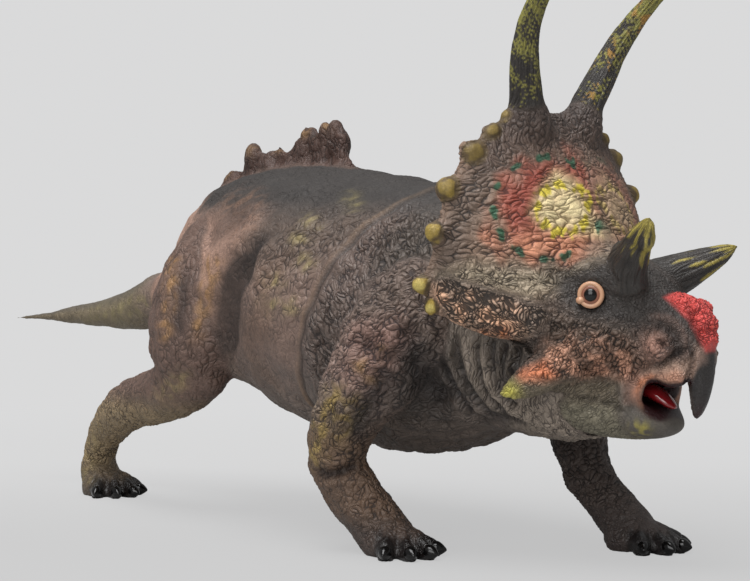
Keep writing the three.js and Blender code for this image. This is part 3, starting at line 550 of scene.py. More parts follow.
def cut_out(hide, node, material):
    faces = hide.faces[hide.owner[hide.faces[:, 0]] == hide.nodes.index(node)]
    used, inverse = np.unique(faces, return_inverse=True)
    faces = inverse.reshape(-1, 4)
    points, normals = hide.points[used], hide.surface[used]
    starts, ends = faces.ravel(), np.roll(faces, -1, 1).ravel()
    rim = ~np.isin(starts.astype(np.int64) * len(used) + ends, ends.astype(np.int64) * len(used) + starts)
    rim_a, rim_b = starts[rim], ends[rim]
    group = np.arange(len(used))
    while True:
        fresh = group.copy()
        low = np.minimum(group[rim_a], group[rim_b])
        np.minimum.at(fresh, rim_a, low)
        np.minimum.at(fresh, rim_b, low)
        fresh = fresh[fresh]
        if (fresh == group).all():
            break
        group = fresh
    hubs, caps = [], []
    for i, key in enumerate(np.unique(group[rim_a])):
        ring = group[rim_a] == key
        hubs.append(points[rim_a[ring]].mean(0) - normals[rim_a[ring]].mean(0) * cap_depth)
        caps += [(b, a, len(used) + i) for a, b in zip(rim_a[ring].tolist(), rim_b[ring].tolist())]
    hubs = np.array(hubs).reshape(-1, 3)
    name = skin_names.get(node, node + "_skin")
    mesh = bpy.data.meshes.new(name)
    mesh.from_pydata(np.concatenate([points, hubs]) * MM, [], faces.tolist() + caps)
    for label, kind in carried.items():
        values = getattr(hide, label)[used]
        values = np.concatenate([values, np.tile(values[:1], (len(hubs),) + (1,) * (values.ndim - 1))])
        if kind == "Color":
            values = np.concatenate([values, np.ones((len(values), 1))], 1)
        stored, field = ("FLOAT", "value") if kind == "Float" else ("FLOAT_" + kind.upper(), kind.lower())
        mesh.attributes.new(label, stored, "POINT").data.foreach_set(field, values.astype(np.float32).ravel())
    mesh.polygons.foreach_set("use_smooth", np.ones(len(mesh.polygons), bool))
    shading = np.concatenate([normals, np.tile([0, 0, 1.0], (len(hubs), 1))])
    mesh.normals_split_custom_set_from_vertices(shading.tolist())
    mesh.materials.append(material)
    piece = bpy.data.objects.new(name, mesh)
    scene.collection.objects.link(piece)
    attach(piece, "root")
    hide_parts(node)


def between(tree, value, low, high, least=0.0):
    """A soft step from a least value up to 1."""
    inputs = {"Value": value, "From Min": low, "From Max": high, "To Min": least}
    return add_node(tree, "ShaderNodeMapRange", inputs, interpolation_type="SMOOTHSTEP").outputs[0]


def hide_grain():
    """Scales with a dark wash between them, and hairline wrinkles and pores over all."""
    group = bpy.data.node_groups.new("hide_grain", "ShaderNodeTree")
    for label, kind in [("place", "Vector"), *carried.items(), ("grain_size", "Float")]:
        group.interface.new_socket(label, in_out="INPUT", socket_type="NodeSocket" + kind)
    for label, kind in (("colour", "Color"), ("roughness", "Float"), ("height", "Float")):
        group.interface.new_socket(label, in_out="OUTPUT", socket_type="NodeSocket" + kind)
    given = add_node(group, "NodeGroupInput").outputs

    def reckon(kind, *values, clamp=False):
        settings = {"operation": kind, "use_clamp": clamp}
        return add_node(group, "ShaderNodeMath", enumerate(values), **settings).outputs[0]

    def plus(a, b):
        return reckon("ADD", a, b)

    def less(a, b):
        return reckon("SUBTRACT", a, b)

    def times(a, b, clamp=False):
        return reckon("MULTIPLY", a, b, clamp=clamp)

    def noise(scale, detail, distortion=0.0):
        inputs = {"Vector": given["place"], "Scale": scale, "Detail": detail, "Distortion": distortion}
        return add_node(group, "ShaderNodeTexNoise", inputs).outputs["Fac"]

    border = plus(scale_edges(group, given["flow"]), given["shift"])
    plate, dome = between(group, border, 0.0, 0.13), between(group, border, 0.0, dome_width)
    rim = times(plate, less(1.0, between(group, border, 0.12, 0.3)))
    wrinkles = noise(reckon("DIVIDE", 1.0 / MM, given["grain_size"]), 1.0, 0.6)
    fold = times(reckon("ABSOLUTE", less(wrinkles, 0.5)), 9.0, clamp=True)
    mottle = noise(420.0, 4.0)
    cracked = times(times(given["relief"], 5.0, clamp=True), 0.88)
    bare = less(1.0, times(cracked, less(1.0, plate)))
    worn = add_node(
        group, "ShaderNodeMix", {"Factor": bare, "A": given["wash"], "B": given["paint"]}, data_type="RGBA"
    )
    lit = plus(times(rim, 0.3), times(dome, 0.3))
    level = plus(times(fold, 0.22), times(mottle, 0.62))
    level = plus(plus(level, 0.42), times(lit, cracked))
    inputs = {0: worn.outputs["Result"], "Scale": level}
    shade = add_node(group, "ShaderNodeVectorMath", inputs, operation="SCALE")
    domed = times(given["relief"], plus(times(plate, 0.4), times(dome, 1.2)))
    rough = plus(given["shine"], times(mottle, 0.2))
    results = {"colour": shade.outputs[0], "height": plus(domed, times(fold, 0.045))}
    results["roughness"] = plus(rough, times(less(1.0, bare), 0.2))
    add_node(group, "NodeGroupOutput", results)
    return group


def paint_of(name, inputs):
    """A plain material with some inputs of its shader filled."""
    material = bpy.data.materials.new(name)
    material.use_nodes = True
    fill(material.node_tree, material.node_tree.nodes["Principled BSDF"], inputs)
    return material


grain_group = hide_grain()


def vinyl(name, grain_size):
    """Painted vinyl: the paint, wash, shine and scales that the skin carries, with a fine grain."""
    material = paint_of(name, {"Specular IOR Level": 0.45})
    tree = material.node_tree
    inputs = {"grain_size": grain_size, "place": add_node(tree, "ShaderNodeTexCoord").outputs["Object"]}
    for label, kind in carried.items():
        held = add_node(tree, "ShaderNodeAttribute", attribute_name=label)
        inputs[label] = held.outputs["Fac" if kind == "Float" else kind]
    grain = add_node(tree, "ShaderNodeGroup", inputs, node_tree=grain_group).outputs
    bump = add_node(tree, "ShaderNodeBump", {"Strength": 1.0, "Distance": MM, "Height": grain["height"]})
    inputs = {"Base Color": grain["colour"], "Roughness": grain["roughness"]}
    fill(tree, tree.nodes["Principled BSDF"], inputs | {"Normal": bump.outputs["Normal"]})
    return material


hide_vinyl = vinyl("brown_hide_vinyl", 0.55)
for node in body_nodes:
    cut_out(body, node, hide_vinyl)
bpy.data.objects.remove(body.cast)


# The claws: four blunt glossy black nails at the front of each foot, one at the tip of each toe.
def gloss(name, colour, roughness, coat=0.0):
    inputs = {"Base Color": (*tint(colour), 1), "Roughness": roughness, "Specular IOR Level": 0.3}
    return paint_of(name, inputs | {"Coat Weight": coat, "Coat Roughness": 0.08})


def ball(name, centre, halves, turn=0.0, tip=0.0):
    """A ball with three half widths, turned about the upright, with its front drawn to a tip."""
    bpy.ops.object.select_all(action="DESELECT")
    bpy.ops.mesh.primitive_uv_sphere_add(segments=28, ring_count=18, radius=1)
    piece = bpy.context.active_object
    piece.name = name
    points = column(piece.data.vertices, "co")
    forth = np.clip(points[:, 0], 0, 1)
    points[:, 1] *= 1 - tip * forth**1.5
    points[:, 2] = points[:, 2] * (1 - tip * forth**1.5) - 0.35 * tip * forth**2
    points *= np.array(halves)
    c, s = math.cos(turn), math.sin(turn)
    points = points @ np.array([[c, s, 0], [-s, c, 0], [0, 0, 1]]) + np.array(centre)
    piece.data.vertices.foreach_set("co", (points * MM).ravel())
    bpy.ops.object.shade_smooth()
    return piece


black_gloss = gloss("black_gloss_paint", "0b0a0a", 0.16, 0.15)
nail_halves, nail_height, nail_inset = (1.7, 1.15, 1.25), 1.3, 0.6
outer_set_back = 1.6
for foot, ((foot_x, foot_y), foot_turn) in feet.items():
    off_x, off_y, up = (body.points - (foot_x, foot_y, 0)).T
    nails = []
    for fan in (-54, -18, 18, 54):
        toe_x, toe_y = toe_reach * math.cos(math.radians(fan)), toe_spread * math.sin(math.radians(fan))
        turn = math.radians(foot_turn) + math.atan2(toe_y, toe_x)
        c, s = math.cos(turn), math.sin(turn)
        ahead, side = off_x * c + off_y * s, off_y * c - off_x * s
        on_toe = (np.abs(side) < 0.6) & (np.abs(up - 1.4) < 0.6) & (ahead > 0) & (ahead < 13)
        reach = ahead[on_toe].max() - nail_inset
        if foot == "left_hind" and fan > 0:
            reach -= outer_set_back
        nail_place = (foot_x + reach * c, foot_y + reach * s, nail_height)
        nails.append(ball("nail", nail_place, nail_halves, turn, 0.5))
    claws = joined(foot + "_claws", nails)
    claws.data.materials.append(black_gloss)
    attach(claws, "root")


# The head: skull with its bony frill, cheek horns, nose boss and beak, the lower jaw and the four
# horns, cast in finer vinyl than the body and glued on the neck, turned a little to its left.
head_seat, head_turn = np.array([71.6, spine_y, 44.02]), math.radians(9)
forward = np.array([math.cos(head_turn), math.sin(head_turn), 0])
leftward = np.array([-math.sin(head_turn), math.cos(head_turn), 0])


def in_head(points):
    """Millimetres ahead of the head's seat, to the animal's right, and above the floor."""
    off = points - head_seat
    return np.stack([off @ forward, -(off @ leftward), points[:, 2]], 1)


def from_head(ahead, aside, high):
    spot = head_seat + ahead * forward - aside * leftward
    return (spot[0], spot[1], high)


# Flesh that the solids leave out: the cheeks and lips that close the mouth on each side, the brows,
# and the flared root and drawn-out tip of the right brow horn.
face_lumps = [
    ("cheek", (4.5, 6.6, 28.2), (6.9, 3.4, 3.6)),
    ("mouth_corner", (11.6, 5.2, 28.8), (5.6, 2.1, 3.6)),
    ("cheek", (3.3, 9.0, 28.7), (3.8, 1.7, 1.8)),
    ("upper_lip", (17.6, 3.7, 31.3), (3.2, 1.4, 1.5)),
    ("upper_lip", (21.2, 3.6, 31.2), (3.2, 1.4, 2.1)),
    ("brow", (11.5, 7.2, 45.6), (5.6, 2.7, 2.1)),
]
horn_lumps = [
    ("horn_flare", (12.4, 6.9, 46.4), (4.0, 2.2, 2.6)),
    ("horn_flare", (13.9, 6.6, 47.4), (2.6, 1.8, 2.6)),
    ("horn_flare", (14.8, 6.3, 44.8), (3.0, 2.5, 2.8)),
    ("horn_flare", (14.6, 7.7, 49.2), (1.6, 1.5, 2.6)),
    ("horn_tip", (21.9, 11.3, 52.2), (1.1, 1.1, 2.2)),
    ("horn_tip", (22.8, 12.0, 54.0), (0.95, 0.95, 1.4)),
]
flesh = []
for side, lumps in ((-1, face_lumps), (1, face_lumps + horn_lumps)):
    for name, (ahead, aside, high), halves in lumps:
        flesh.append(ball(name, from_head(ahead, side * aside, high), halves, head_turn))
head = Hide("head_skin", head_nodes + ["front_trunk"], head_grain, flesh)
horns, skull, jaw = head.part(*horn_names), head.part("head"), head.part("lower_jaw")
ahead, aside, high = in_head(head.points).T
head.place(aside < 0, head_seat, leftward)
across, down, per_point = head.places.T


def off_spot(spot):
    return np.hypot(across - spot[0], down - spot[1]) * per_point


def round_spot(spot, size):
    return bell(off_spot(spot), size)


knob_spots = [(505, 113, 1.1), (492, 130, 1.3), (474, 152, 1.7), (446, 187, 1.8), (431, 232, 1.7)]
knob_spots += [(419, 285, 1.5), (430, 308, 1.2)]
at_rim = ease(np.abs(aside), 8, 12) * skull * ease(13 - ahead, 0, 4)
knob = np.clip(sum(round_spot(k[:2], k[2]) for k in knob_spots), 0, 1) * at_rim
horn_root = bell(high - 73, 3.5) * (ahead < 14) + bell(high - 47.0, 3.0) * (ahead > 10)
firm = 0.5 - 0.34 * knob - 0.3 * horns - 0.22 * ease(ahead, 16, 20) * skull + 0.5 * horn_root
head.relax(np.clip(head.soften(firm, 10), 0.04, 1), 60)
head.laid = in_head(head.points)
head.laid[:, 1] = np.abs(head.laid[:, 1])
head_normals = head.normals()
sideways = head_normals @ leftward
head.face(-0.15, 0.15)
front = ease(head_normals @ forward, -0.35, 0.1)
face_on = skull * head.shown
frill_edge = [(500, 95), (560, 90), (640, 150), (650, 240), (600, 262), (580, 280), (545, 300), (560, 320)]
frill_zone = inside(head, frill_edge + [(500, 345), (400, 330), (400, 180)], 1.5) * skull
frill_front = frill_zone * front * head.shown
hand = 1 - 0.75 * ease(-aside, -1.0, 1.5)
high_edge = [(490, 90), (560, 85), (640, 90), (625, 165), (560, 158), (515, 165), (480, 175)]
high_frill = inside(head, high_edge, 4.0) * frill_zone
peach_edge = [(430, 283), (446, 276), (500, 292), (545, 306), (548, 322), (528, 338), (500, 341), (468, 333)]
peach_patch = inside(head, peach_edge + [(448, 322), (438, 303)], 1.0) * face_on
cheek_edge = [(540, 300), (575, 318), (625, 328), (655, 362), (636, 380), (600, 380), (560, 386), (515, 398)]
cheek = inside(head, cheek_edge + [(524, 380), (546, 345)], 1.8) * face_on
snout_edge = [(560, 286), (600, 262), (655, 258), (690, 296), (700, 350), (690, 390), (640, 384)]
snout = inside(head, snout_edge + [(625, 335), (575, 322)], 1.5) * face_on
lip_edge = [(640, 372), (655, 366), (688, 358), (704, 352), (702, 364), (690, 386), (672, 388), (655, 382)]
lip = inside(head, lip_edge + [(642, 384)], 0.9) * face_on
beak_edge = [(701, 347), (716, 340), (720, 400), (708, 425), (692, 415), (688, 386), (698, 366)]
beak = inside(head, beak_edge, 0.6) * face_on
boss_edge = [(664, 297), (680, 291), (702, 296), (718, 320), (718, 350), (706, 352), (699, 340), (690, 322)]
boss = inside(head, boss_edge + [(679, 311)], 0.5) * skull * ease(ahead, 15, 17)
band_edge = [(470, 262), (520, 268), (560, 264), (612, 255), (600, 268), (560, 290), (530, 300), (480, 288)]
band = inside(head, band_edge + [(440, 276)], 2.0) * face_on
throat = ease(-high, -31.5, -29) * np.clip(skull + jaw, 0, 1) * ease(15.5 - ahead, 0, 3)
inward = sideways * np.where(aside > 0, 1, -1)
roof = np.maximum(ease(-head_normals[:, 2], 0.2, 0.6), ease(inward, 0.0, 0.3))
palate = skull * roof * ease(ahead, 9, 11) * ease(31.5 - high, -2, 1)
facing_in = np.maximum(ease(head_normals[:, 2], 0.25, 0.6), ease(inward, 0.1, 0.45))
mouth_floor = jaw * facing_in * ease(5.6 - np.abs(aside), 0, 1.0) * ease(ahead, 4, 6) * ease(high, 23, 24.5)
mouth = np.clip(palate + mouth_floor * ease(19.5 - ahead, 0, 1.0), 0, 1)

# Folds of the face, drawn on the photograph's frame: the nostril and its ring, the corner of the
# mouth, the brow, and the creases under the eye and along the beak.
cheek_horn, nostril_spot, ring_spot = (532, 384), (662, 344), (656, 347)
head.raised += 0.55 * round_spot(cheek_horn, 3.0) * ease(np.abs(aside), 9, 11) * skull
nostril = round_spot(nostril_spot, 0.7)
ring_gap = off_spot(ring_spot)
head.raised += face_on * (1.05 * bell(ring_gap, 1.8) - 1.2 * nostril)
half_ring = ease(across - 0.3 * down, 549, 563) * ease(366 - down, 0, 12)
nose_ring = bell(ring_gap - 3.1, 0.75) * half_ring
outer_ring = bell(ring_gap - 4.6, 0.7) * half_ring
head.raised += (0.3 * outer_ring - 0.6 * nose_ring) * face_on
# Painted shade in the nostril's pit and in the groove of its ring.
head.creased += (nostril + 0.45 * nose_ring) * face_on
boss_lobes = [(676, 299), (693, 307), (704, 322), (707, 340)]
for lobe in boss_lobes:
    head.raised += 0.5 * round_spot(lobe, 1.0) * boss
skin_on = np.clip(skull + jaw, 0, 1)
mouth_folds = [
    [(633, 372), (629, 385), (628, 399), (634, 413)],
    [(622, 370), (616, 383), (615, 400), (622, 415)],
]
for fold in mouth_folds:
    head.press(skin_on, 0.5, 0.2, fold, 0.2)
beak_fold = [(692, 350), (694, 362), (688, 376), (686, 388)]
head.press(face_on, 0.45, 0.4, beak_fold, 0.2)
lip_fold = [(690, 346), (676, 356), (660, 364), (642, 370)]
head.press(face_on, 0.5, 0.25, lip_fold, 0.25)
eye_fold = [(581, 302), (592, 310), (606, 310), (618, 303)]
head.press(face_on, 0.55, 0.2, eye_fold, 0.1)
boss_fold = [(684, 300), (690, 318), (699, 336), (701, 350)]
head.press(face_on, 0.5, 0.35, boss_fold, 0.1)
jaw_fold = [(560, 402), (585, 398), (610, 404), (628, 416)]
head.press(skin_on, 0.5, 0.3, jaw_fold, 0.2, 0.3)
head.raised += 0.45 * ease(knob, 0.15, 0.9)
head.creased = np.clip(head.creased, 0, 1)

# The head's relief: a close maze of plates on the frill, deep scratches in its peach corners,
# drawn-out scales on the cheeks, slanting wrinkles on the throat, a granular nose boss.
head.scales(np.ones(len(ahead)), (1.1, 1.4, 1.0), 0.14, 101)
head.scales(skull * (1 - cheek), (0.62, 0.62, 0.66), 0.16, 102)
head.scales(frill_zone, (1.3, 2.3, 0.8), 0.19, 103, 0, 0.17)
head.scales(high_frill, (0.9, 0.85, 1.4), 0.14, 104)
head.scales(band, (0.7, 1.7, 0.5), 0.26, 105, 20, 0.3)
head.scales(peach_patch, (0.6, 0.6, 1.9), 0.36, 106, -42, 0.34)
head.scales(np.clip(cheek - peach_patch, 0, 1), (0.66, 0.66, 1.05), 0.34, 107, 38)
head.scales(boss, (0.6, 0.6, 0.6), 0.22, 108)
head.scales(throat, (1.2, 0.6, 0.36), 0.13, 109, -38)
bald_edge = [(566, 282), (590, 262), (640, 254), (666, 290), (690, 318), (694, 345), (672, 326), (645, 322)]
bald = inside(head, bald_edge + [(620, 322), (592, 318), (572, 306)], 1.6) * face_on
on_knob = ease(knob, 0.12, 0.5)
smooth = np.clip(0.35 * lip + beak + mouth + jaw * ease(ahead, 13.5, 16) + on_knob, 0, 1)
head.relief *= (1 - 0.95 * smooth) * (1 - 0.45 * bald)
head.gape += 0.12 * peach_patch

# Horns: each is grooved lengthwise round its own curved middle line, charcoal at the root with
# yellow-green streaks dragged towards the tip.
horn_share, streak = np.zeros((2, len(ahead)))
for i, horn_name in enumerate(horn_names):
    on_horn = head.part(horn_name)
    chosen = on_horn > 0.02
    own = head.points[chosen]
    corners = column(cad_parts[horn_name].data.vertices, "co") / MM
    tip = corners[np.argmax(np.linalg.norm(corners - head_seat, axis=1))]
    to_tip = np.linalg.norm(own - tip, axis=1)
    length = np.percentile(to_tip, 98)
    share = 1 - to_tip / length
    stops = np.linspace(0, 1, 11)
    middle = np.array([own[np.abs(share - stop) <= 0.08].mean(0) for stop in stops])
    spoke = own - np.stack([np.interp(share, stops, middle[:, k]) for k in range(3)], 1)
    way = (middle[-1] - middle[0]) / np.linalg.norm(middle[-1] - middle[0])
    side_a = np.cross(way, leftward)
    side_a /= np.linalg.norm(side_a)
    turn = np.arctan2(spoke @ np.cross(way, side_a), spoke @ side_a)
    rolled = np.stack([np.cos(turn) * 3.4, np.sin(turn) * 3.4, share * length * 0.12], 1) + 3.7 * i
    head.flow[chosen] = np.where((on_horn[chosen] > 0.5)[:, None], rolled, head.flow[chosen])
    head.knit(on_horn > 0.5)
    head.relief[chosen] = head.relief[chosen] * (1 - on_horn[chosen]) + 0.1 * on_horn[chosen]
    swell = 0.35 if "brow" in horn_name else 0.0
    head.raised[chosen] += swell * on_horn[chosen] * ease(1 - share, 0.0, 0.2)
    horn_share[chosen] = np.maximum(horn_share[chosen], share * on_horn[chosen])
    dragged = ripples(rolled * np.array([1, 1, 2.0]), 1.5, 141 + i)
    if "frill" in horn_name:
        flecks = ripples(own, 0.6, 151 + i) + 0.5 * ripples(own, 1.7, 155 + i)
        dragged = flecks + 0.7 * ripples(own, 4.5, 153 + i) + 0.8 * share + 1.3
    if "right_brow" in horn_name:
        dragged += 1.6 * ease(head.places[chosen, 0], 634, 652) - 0.2
    streak[chosen] = np.where(on_horn[chosen] > 0.3, dragged, streak[chosen])

# The head's paint: charcoal face, peach cheeks, a red field round a cream patch on each half of
# the frill with a ring of dark dashes, ochre knobs, red nose boss, maroon mouth. Painted shade darkens
# the inside of the mouth to near black, the recess under the frill and the bases of the knobs.
patches = ease(ripples(head.laid, 3.2, 85), -0.6, 0.7)
head.coat(np.ones(len(ahead)), "564b44", "1c1614")
head.coat(frill_zone, "7b6454", "261d1a")
near_rim = [(500, 95), (480, 150), (452, 190), (436, 235), (424, 285), (440, 296)]
near_rim += [(462, 268), (472, 236), (488, 200), (506, 165), (528, 110)]
head.coat(inside(head, near_rim, 2.4) * skull * 0.85, "584b42", "1d1715")
head.coat(high_frill, "51423a", "241c19")
head.coat(skull * ease(high, 66, 75) * ease(13 - ahead, 0, 4) * 0.8, "372f2c", "171312")
head.coat(band, "9a8c78", "2b231f")
head.coat(frill_zone * ease(across, 596, 612) * 0.6, "6d6154", "2b2320")
field_centre, field_size = np.array([548.0, 208.0]), np.array([64.0, 56.0])
from_field = np.linalg.norm((head.places[:, :2] - field_centre) / field_size, axis=1)
from_field += 0.1 * ripples(head.laid, 5, 151)
field = (1 - ease(from_field, 0.62, 1.12)) * frill_front * hand
head.coat(field, "835342", "3c1d17")
head.coat(field * ease(down, 215, 250), "bb8063", "54271d")
red_edge = [(505, 165), (560, 155), (590, 170), (562, 182), (536, 195), (528, 225), (510, 235), (500, 200)]
deep_red = inside(head, red_edge, 4.5) * field
head.coat(deep_red, "80382c", "3c1713")
patch_edge = [(555, 172), (572, 180), (590, 205), (602, 236), (575, 232), (545, 226), (532, 212), (540, 192)]
patch = inside(head, patch_edge, 1.6) * frill_front * hand
head.coat(patch * ease(patches, -0.9, 0.3), "c9b88d", "846f4c")


def dashes(spots, long_mm, wide_mm, lean, tops, grooves):
    """Short dabs of one colour, ragged at the edge, each turned with the oval that they ring."""
    for spot_x, spot_y in spots:
        way = np.array([-(spot_y - field_centre[1]), (spot_x - field_centre[0]) * lean])
        way /= np.linalg.norm(way)
        off = (head.places[:, :2] - (spot_x, spot_y)) * head.places[:, 2:3]
        reach = np.hypot(off @ way / long_mm, off @ np.array([way[1], -way[0]]) / wide_mm)
        ragged = reach + 0.25 * ripples(head.laid, 1.5, 161)
        head.coat((1 - ease(ragged, 0.7, 1.1)) * frill_front * hand * 0.95, tops, grooves)


def oval(centre, size, degrees):
    return [
        (centre[0] + size[0] * math.cos(math.radians(d)), centre[1] + size[1] * math.sin(math.radians(d)))
        for d in degrees
    ]


ring_degrees = [70, 95, 122, 150, 178, 207, 237, 266, 296, 325, 352, 20]
dashes(oval(field_centre, field_size * (0.86, 0.9), ring_degrees), 1.3, 0.6, 1.3, "27503a", "10251b")
patch_centre, patch_size = (564, 208), (26, 24)
dab_degrees = [100, 140, 185, 225, 262, 310, 350, 40, 70]
dashes(oval(patch_centre, patch_size, dab_degrees), 1.2, 0.8, 1.0, "c0ae38", "7d701f")
head.coat(peach_patch, "857569", "0e0a09")
peach_share = ease(-across, -540, -500) * ease(down - 0.25 * across, 168, 184)
head.coat(peach_patch * (0.25 + 0.75 * patches) * peach_share, "e4b595", "0e0a09")
for rust_spot, size, share in (((503, 334), 1.3, 0.8), ((484, 336), 1.0, 0.7)):
    head.coat(round_spot(rust_spot, size) * face_on * share, "b87045", "22130c")
head.coat(np.clip(snout - cheek, 0, 1), "302b28", "171413")
brow_edge = [(545, 270), (600, 258), (640, 262), (640, 300), (590, 312), (560, 300)]
head.coat(inside(head, brow_edge, 2.5) * face_on * 0.9, "37322f", "1c1917")
head.coat(cheek, "50433a", "130f0d")
peach_cheek = [(548, 345), (575, 338), (620, 345), (645, 366), (640, 380), (600, 378)]
peach_cheek += [(560, 382), (530, 390), (535, 368)]
head.coat(inside(head, peach_cheek, 2.2) * face_on * (0.25 + 0.75 * patches), "b98a72", "1e1412")
jugal_edge = [(520, 372), (545, 362), (556, 376), (545, 388), (515, 396)]
head.coat(inside(head, jugal_edge, 1.2) * face_on * 0.85, "d07d57", "4b2a20")
snout_spot = (652, 347)
head.coat(round_spot(snout_spot, 2.6) * face_on * 0.6, "8a6b5d", "2b1f1c")
head.coat(bell(ring_gap, 1.7) * face_on * 0.6, "ab7f6e", "4a3129")
head.coat(outer_ring * face_on * 0.35, "7d6358", "2b1f1c")
head.coat(throat, "625849", "1e1916")
head.coat(throat * ease(-high, -28, -25) * 0.7, "75705f", "3a342c")
head.coat(jaw * ease(ahead, 12.5, 15.5), "544e47", "3d3731")
dab_spot, next_dab_spot = (643, 430), (636, 428)
yellow_dab = np.maximum(round_spot(dab_spot, 1.1), 0.8 * round_spot(next_dab_spot, 1.0))
head.coat(jaw * yellow_dab * 0.7 * ease(ripples(head.laid, 1.4, 173), -0.9, 0.9), "a89c45", "857c3c")
head.coat(lip * (0.75 + 0.25 * patches), "a98c7b", "5c4038")
lip_light = [(655, 376), (676, 370), (688, 378), (684, 388), (668, 386)]
head.coat(inside(head, lip_light, 1.0) * face_on * 0.6, "bf8468", "6d4435")
corner_edge = [(624, 370), (645, 372), (648, 384), (642, 404), (626, 402)]
head.coat(inside(head, corner_edge, 1.0) * skin_on * 0.6, "9c7260", "50372f")
mouth_rim = [(652, 377), (642, 381), (637, 392), (640, 404), (650, 411)]
rim_gap, _ = off_line(head.places, mouth_rim)
head.coat(bell(rim_gap, 0.65) * skin_on * (0.3 + 0.55 * patches), "bd7856", "55301f")
head.coat(beak, "272322", "211d1c")
beak_root = [(694, 345), (708, 345), (706, 362), (692, 368)]
head.coat(inside(head, beak_root, 0.9) * face_on * 0.7, "8f7568", "7a6257")
head.coat(boss, "bf4540", "7b221f")
# The mouth's maroon paint, made near black as painted shade inside the mouth.
head.coat(mouth, "24090c", "120506")
# Painted shadow in the recess under the frill, behind the cheek horn.
frill_recess_shadow = [(516, 338), (528, 332), (548, 330), (540, 350), (526, 368), (514, 362)]
head.coat(inside(head, frill_recess_shadow, 1.0) * head.shown * (1 - face_on), "1d1816", "120f0e")
cheek_horn_tip = (508, 393)
head.coat(round_spot(cheek_horn_tip, 1.7) * ease(np.abs(aside), 10, 12) * face_on, "b2aa4d", "7e7730")
# Painted shade: a brown ring round the base of each knob.
head.coat(ease(knob, 0.12, 0.28) * head.shown, "55452d", "3d3223")
low_knob = ease(down, 140, 230)
daubed = ease(knob + 0.12 * ripples(head.laid, 1.6, 171), 0.42, 0.72) * head.shown
head.coat(daubed * (0.4 + 0.6 * low_knob) * (0.75 + 0.25 * patches), "a38b3f", "7a6632")
head.coat(ease(down, 270, 290) * daubed * ease(knob, 0.6, 0.9), "b7a55a", "8f8048")
head.coat(horns, "2d2926", "171412")
streaked = ease(streak + 4.2 * (horn_share - 0.74), 0.0, 0.8)
horn_tip = np.maximum(streaked, ease(horn_share, 0.86, 0.94)) * horns
head.coat(horn_tip * 0.85, "96883c", "45401c")
long_horns = head.part("left_frill_horn", "right_frill_horn")
head.coat(horn_tip * long_horns * 0.75, "77763a", "33341c")
ochre_brush = ease(ripples(head.laid, 2.6, 175), 0.2, 1.0) * head.part("left_frill_horn")
head.coat(horn_tip * ochre_brush * 0.7, "99672b", "4a3018")
# Painted shade in the folds of the face, gathered above.
head.coat(head.creased * 0.85, "191312", "191312")
head.shine = 0.44 + 0.08 * patches - 0.14 * beak - 0.1 * lip - 0.22 * mouth - 0.05 * horns - 0.06 * boss
head.emboss()
head_vinyl = vinyl("painted_head_vinyl", 0.42)
for node in head_nodes:
    cut_out(head, node, head_vinyl)
bpy.data.objects.remove(head.cast)


# The eyes, a turned ring of peach paint round a domed black pupil, and the wet tongue.
def lathe(name, profile, axis, centre, material):
    """Turns a profile of radius and height round an axis through a centre, all in millimetres."""
    mesh = bpy.data.meshes.new(name)
    rows = [(radius * MM, 0, height * MM) for radius, height in profile]
    mesh.from_pydata(rows, [(i, i + 1) for i in range(len(rows) - 1)], [])
    piece = bpy.data.objects.new(name, mesh)
    scene.collection.objects.link(piece)
    only(piece)
    spin = piece.modifiers.new("spin", "SCREW")
    spin.steps = spin.render_steps = 56
    spin.use_merge_vertices, spin.merge_threshold = True, 1e-6
    bpy.ops.object.modifier_apply(modifier="spin")
    edited(bpy.ops.mesh.normals_make_consistent, inside=False)
    bpy.ops.object.shade_smooth()
    piece.rotation_euler = Vector(axis).to_track_quat("Z", "Y").to_euler()
    piece.location = Vector(centre) * MM
    bpy.ops.object.transform_apply()
    piece.data.materials.append(material)
    return piece


ring_paint = gloss("peach_eye_paint", "b1876a", 0.35, 0.3)
iris_paint = gloss("brown_eye_line", "7a4a35", 0.3, 0.5)
ring_profile = [(0, -1.5), (1.3, -1.3), (1.95, -0.6), (2.12, 0.0), (2.08, 0.25)]
ring_profile += [(1.94, 0.42), (1.7, 0.46), (1.5, 0.38), (1.38, 0.26), (0, 0.2)]
iris_profile = [(0, 0.2), (1.46, 0.28), (1.42, 0.38), (1.2, 0.4), (0, 0.36)]
pupil_profile = [(0, 0.2), (1.0, 0.3), (1.02, 0.44), (0.9, 0.64), (0.62, 0.8), (0.3, 0.88), (0, 0.9)]
to_camera = (camera_place - head_seat) / np.linalg.norm(camera_place - head_seat)
for side, node in ((1, "right_eye"), (-1, "left_eye")):
    corners = column(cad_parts[node].data.vertices, "co") / MM
    centre = (corners.min(0) + corners.max(0)) / 2
    outward = to_camera if side > 0 else to_camera - 2 * (to_camera @ leftward) * leftward
    outward = outward - 0.45 * side * leftward
    outward /= np.linalg.norm(outward)
    seat = centre + outward * 0.55
    ring = lathe(node + "_ring", ring_profile, outward, seat, ring_paint)
    iris = lathe(node + "_line", iris_profile, outward, seat, iris_paint)
    pupil = lathe(node + "_pupil", pupil_profile, outward, seat, black_gloss)
    rearward = (forward @ outward) * outward - forward
    lobe = seat + 1.6 * rearward / np.linalg.norm(rearward) - (0, 0, 0.85)
    corner = ball(node + "_corner", lobe, (0.75, 0.75, 0.62))
    corner.data.materials.append(ring_paint)
    for piece in (ring, iris, pupil, corner):
        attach(piece, "root")
        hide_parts(node)

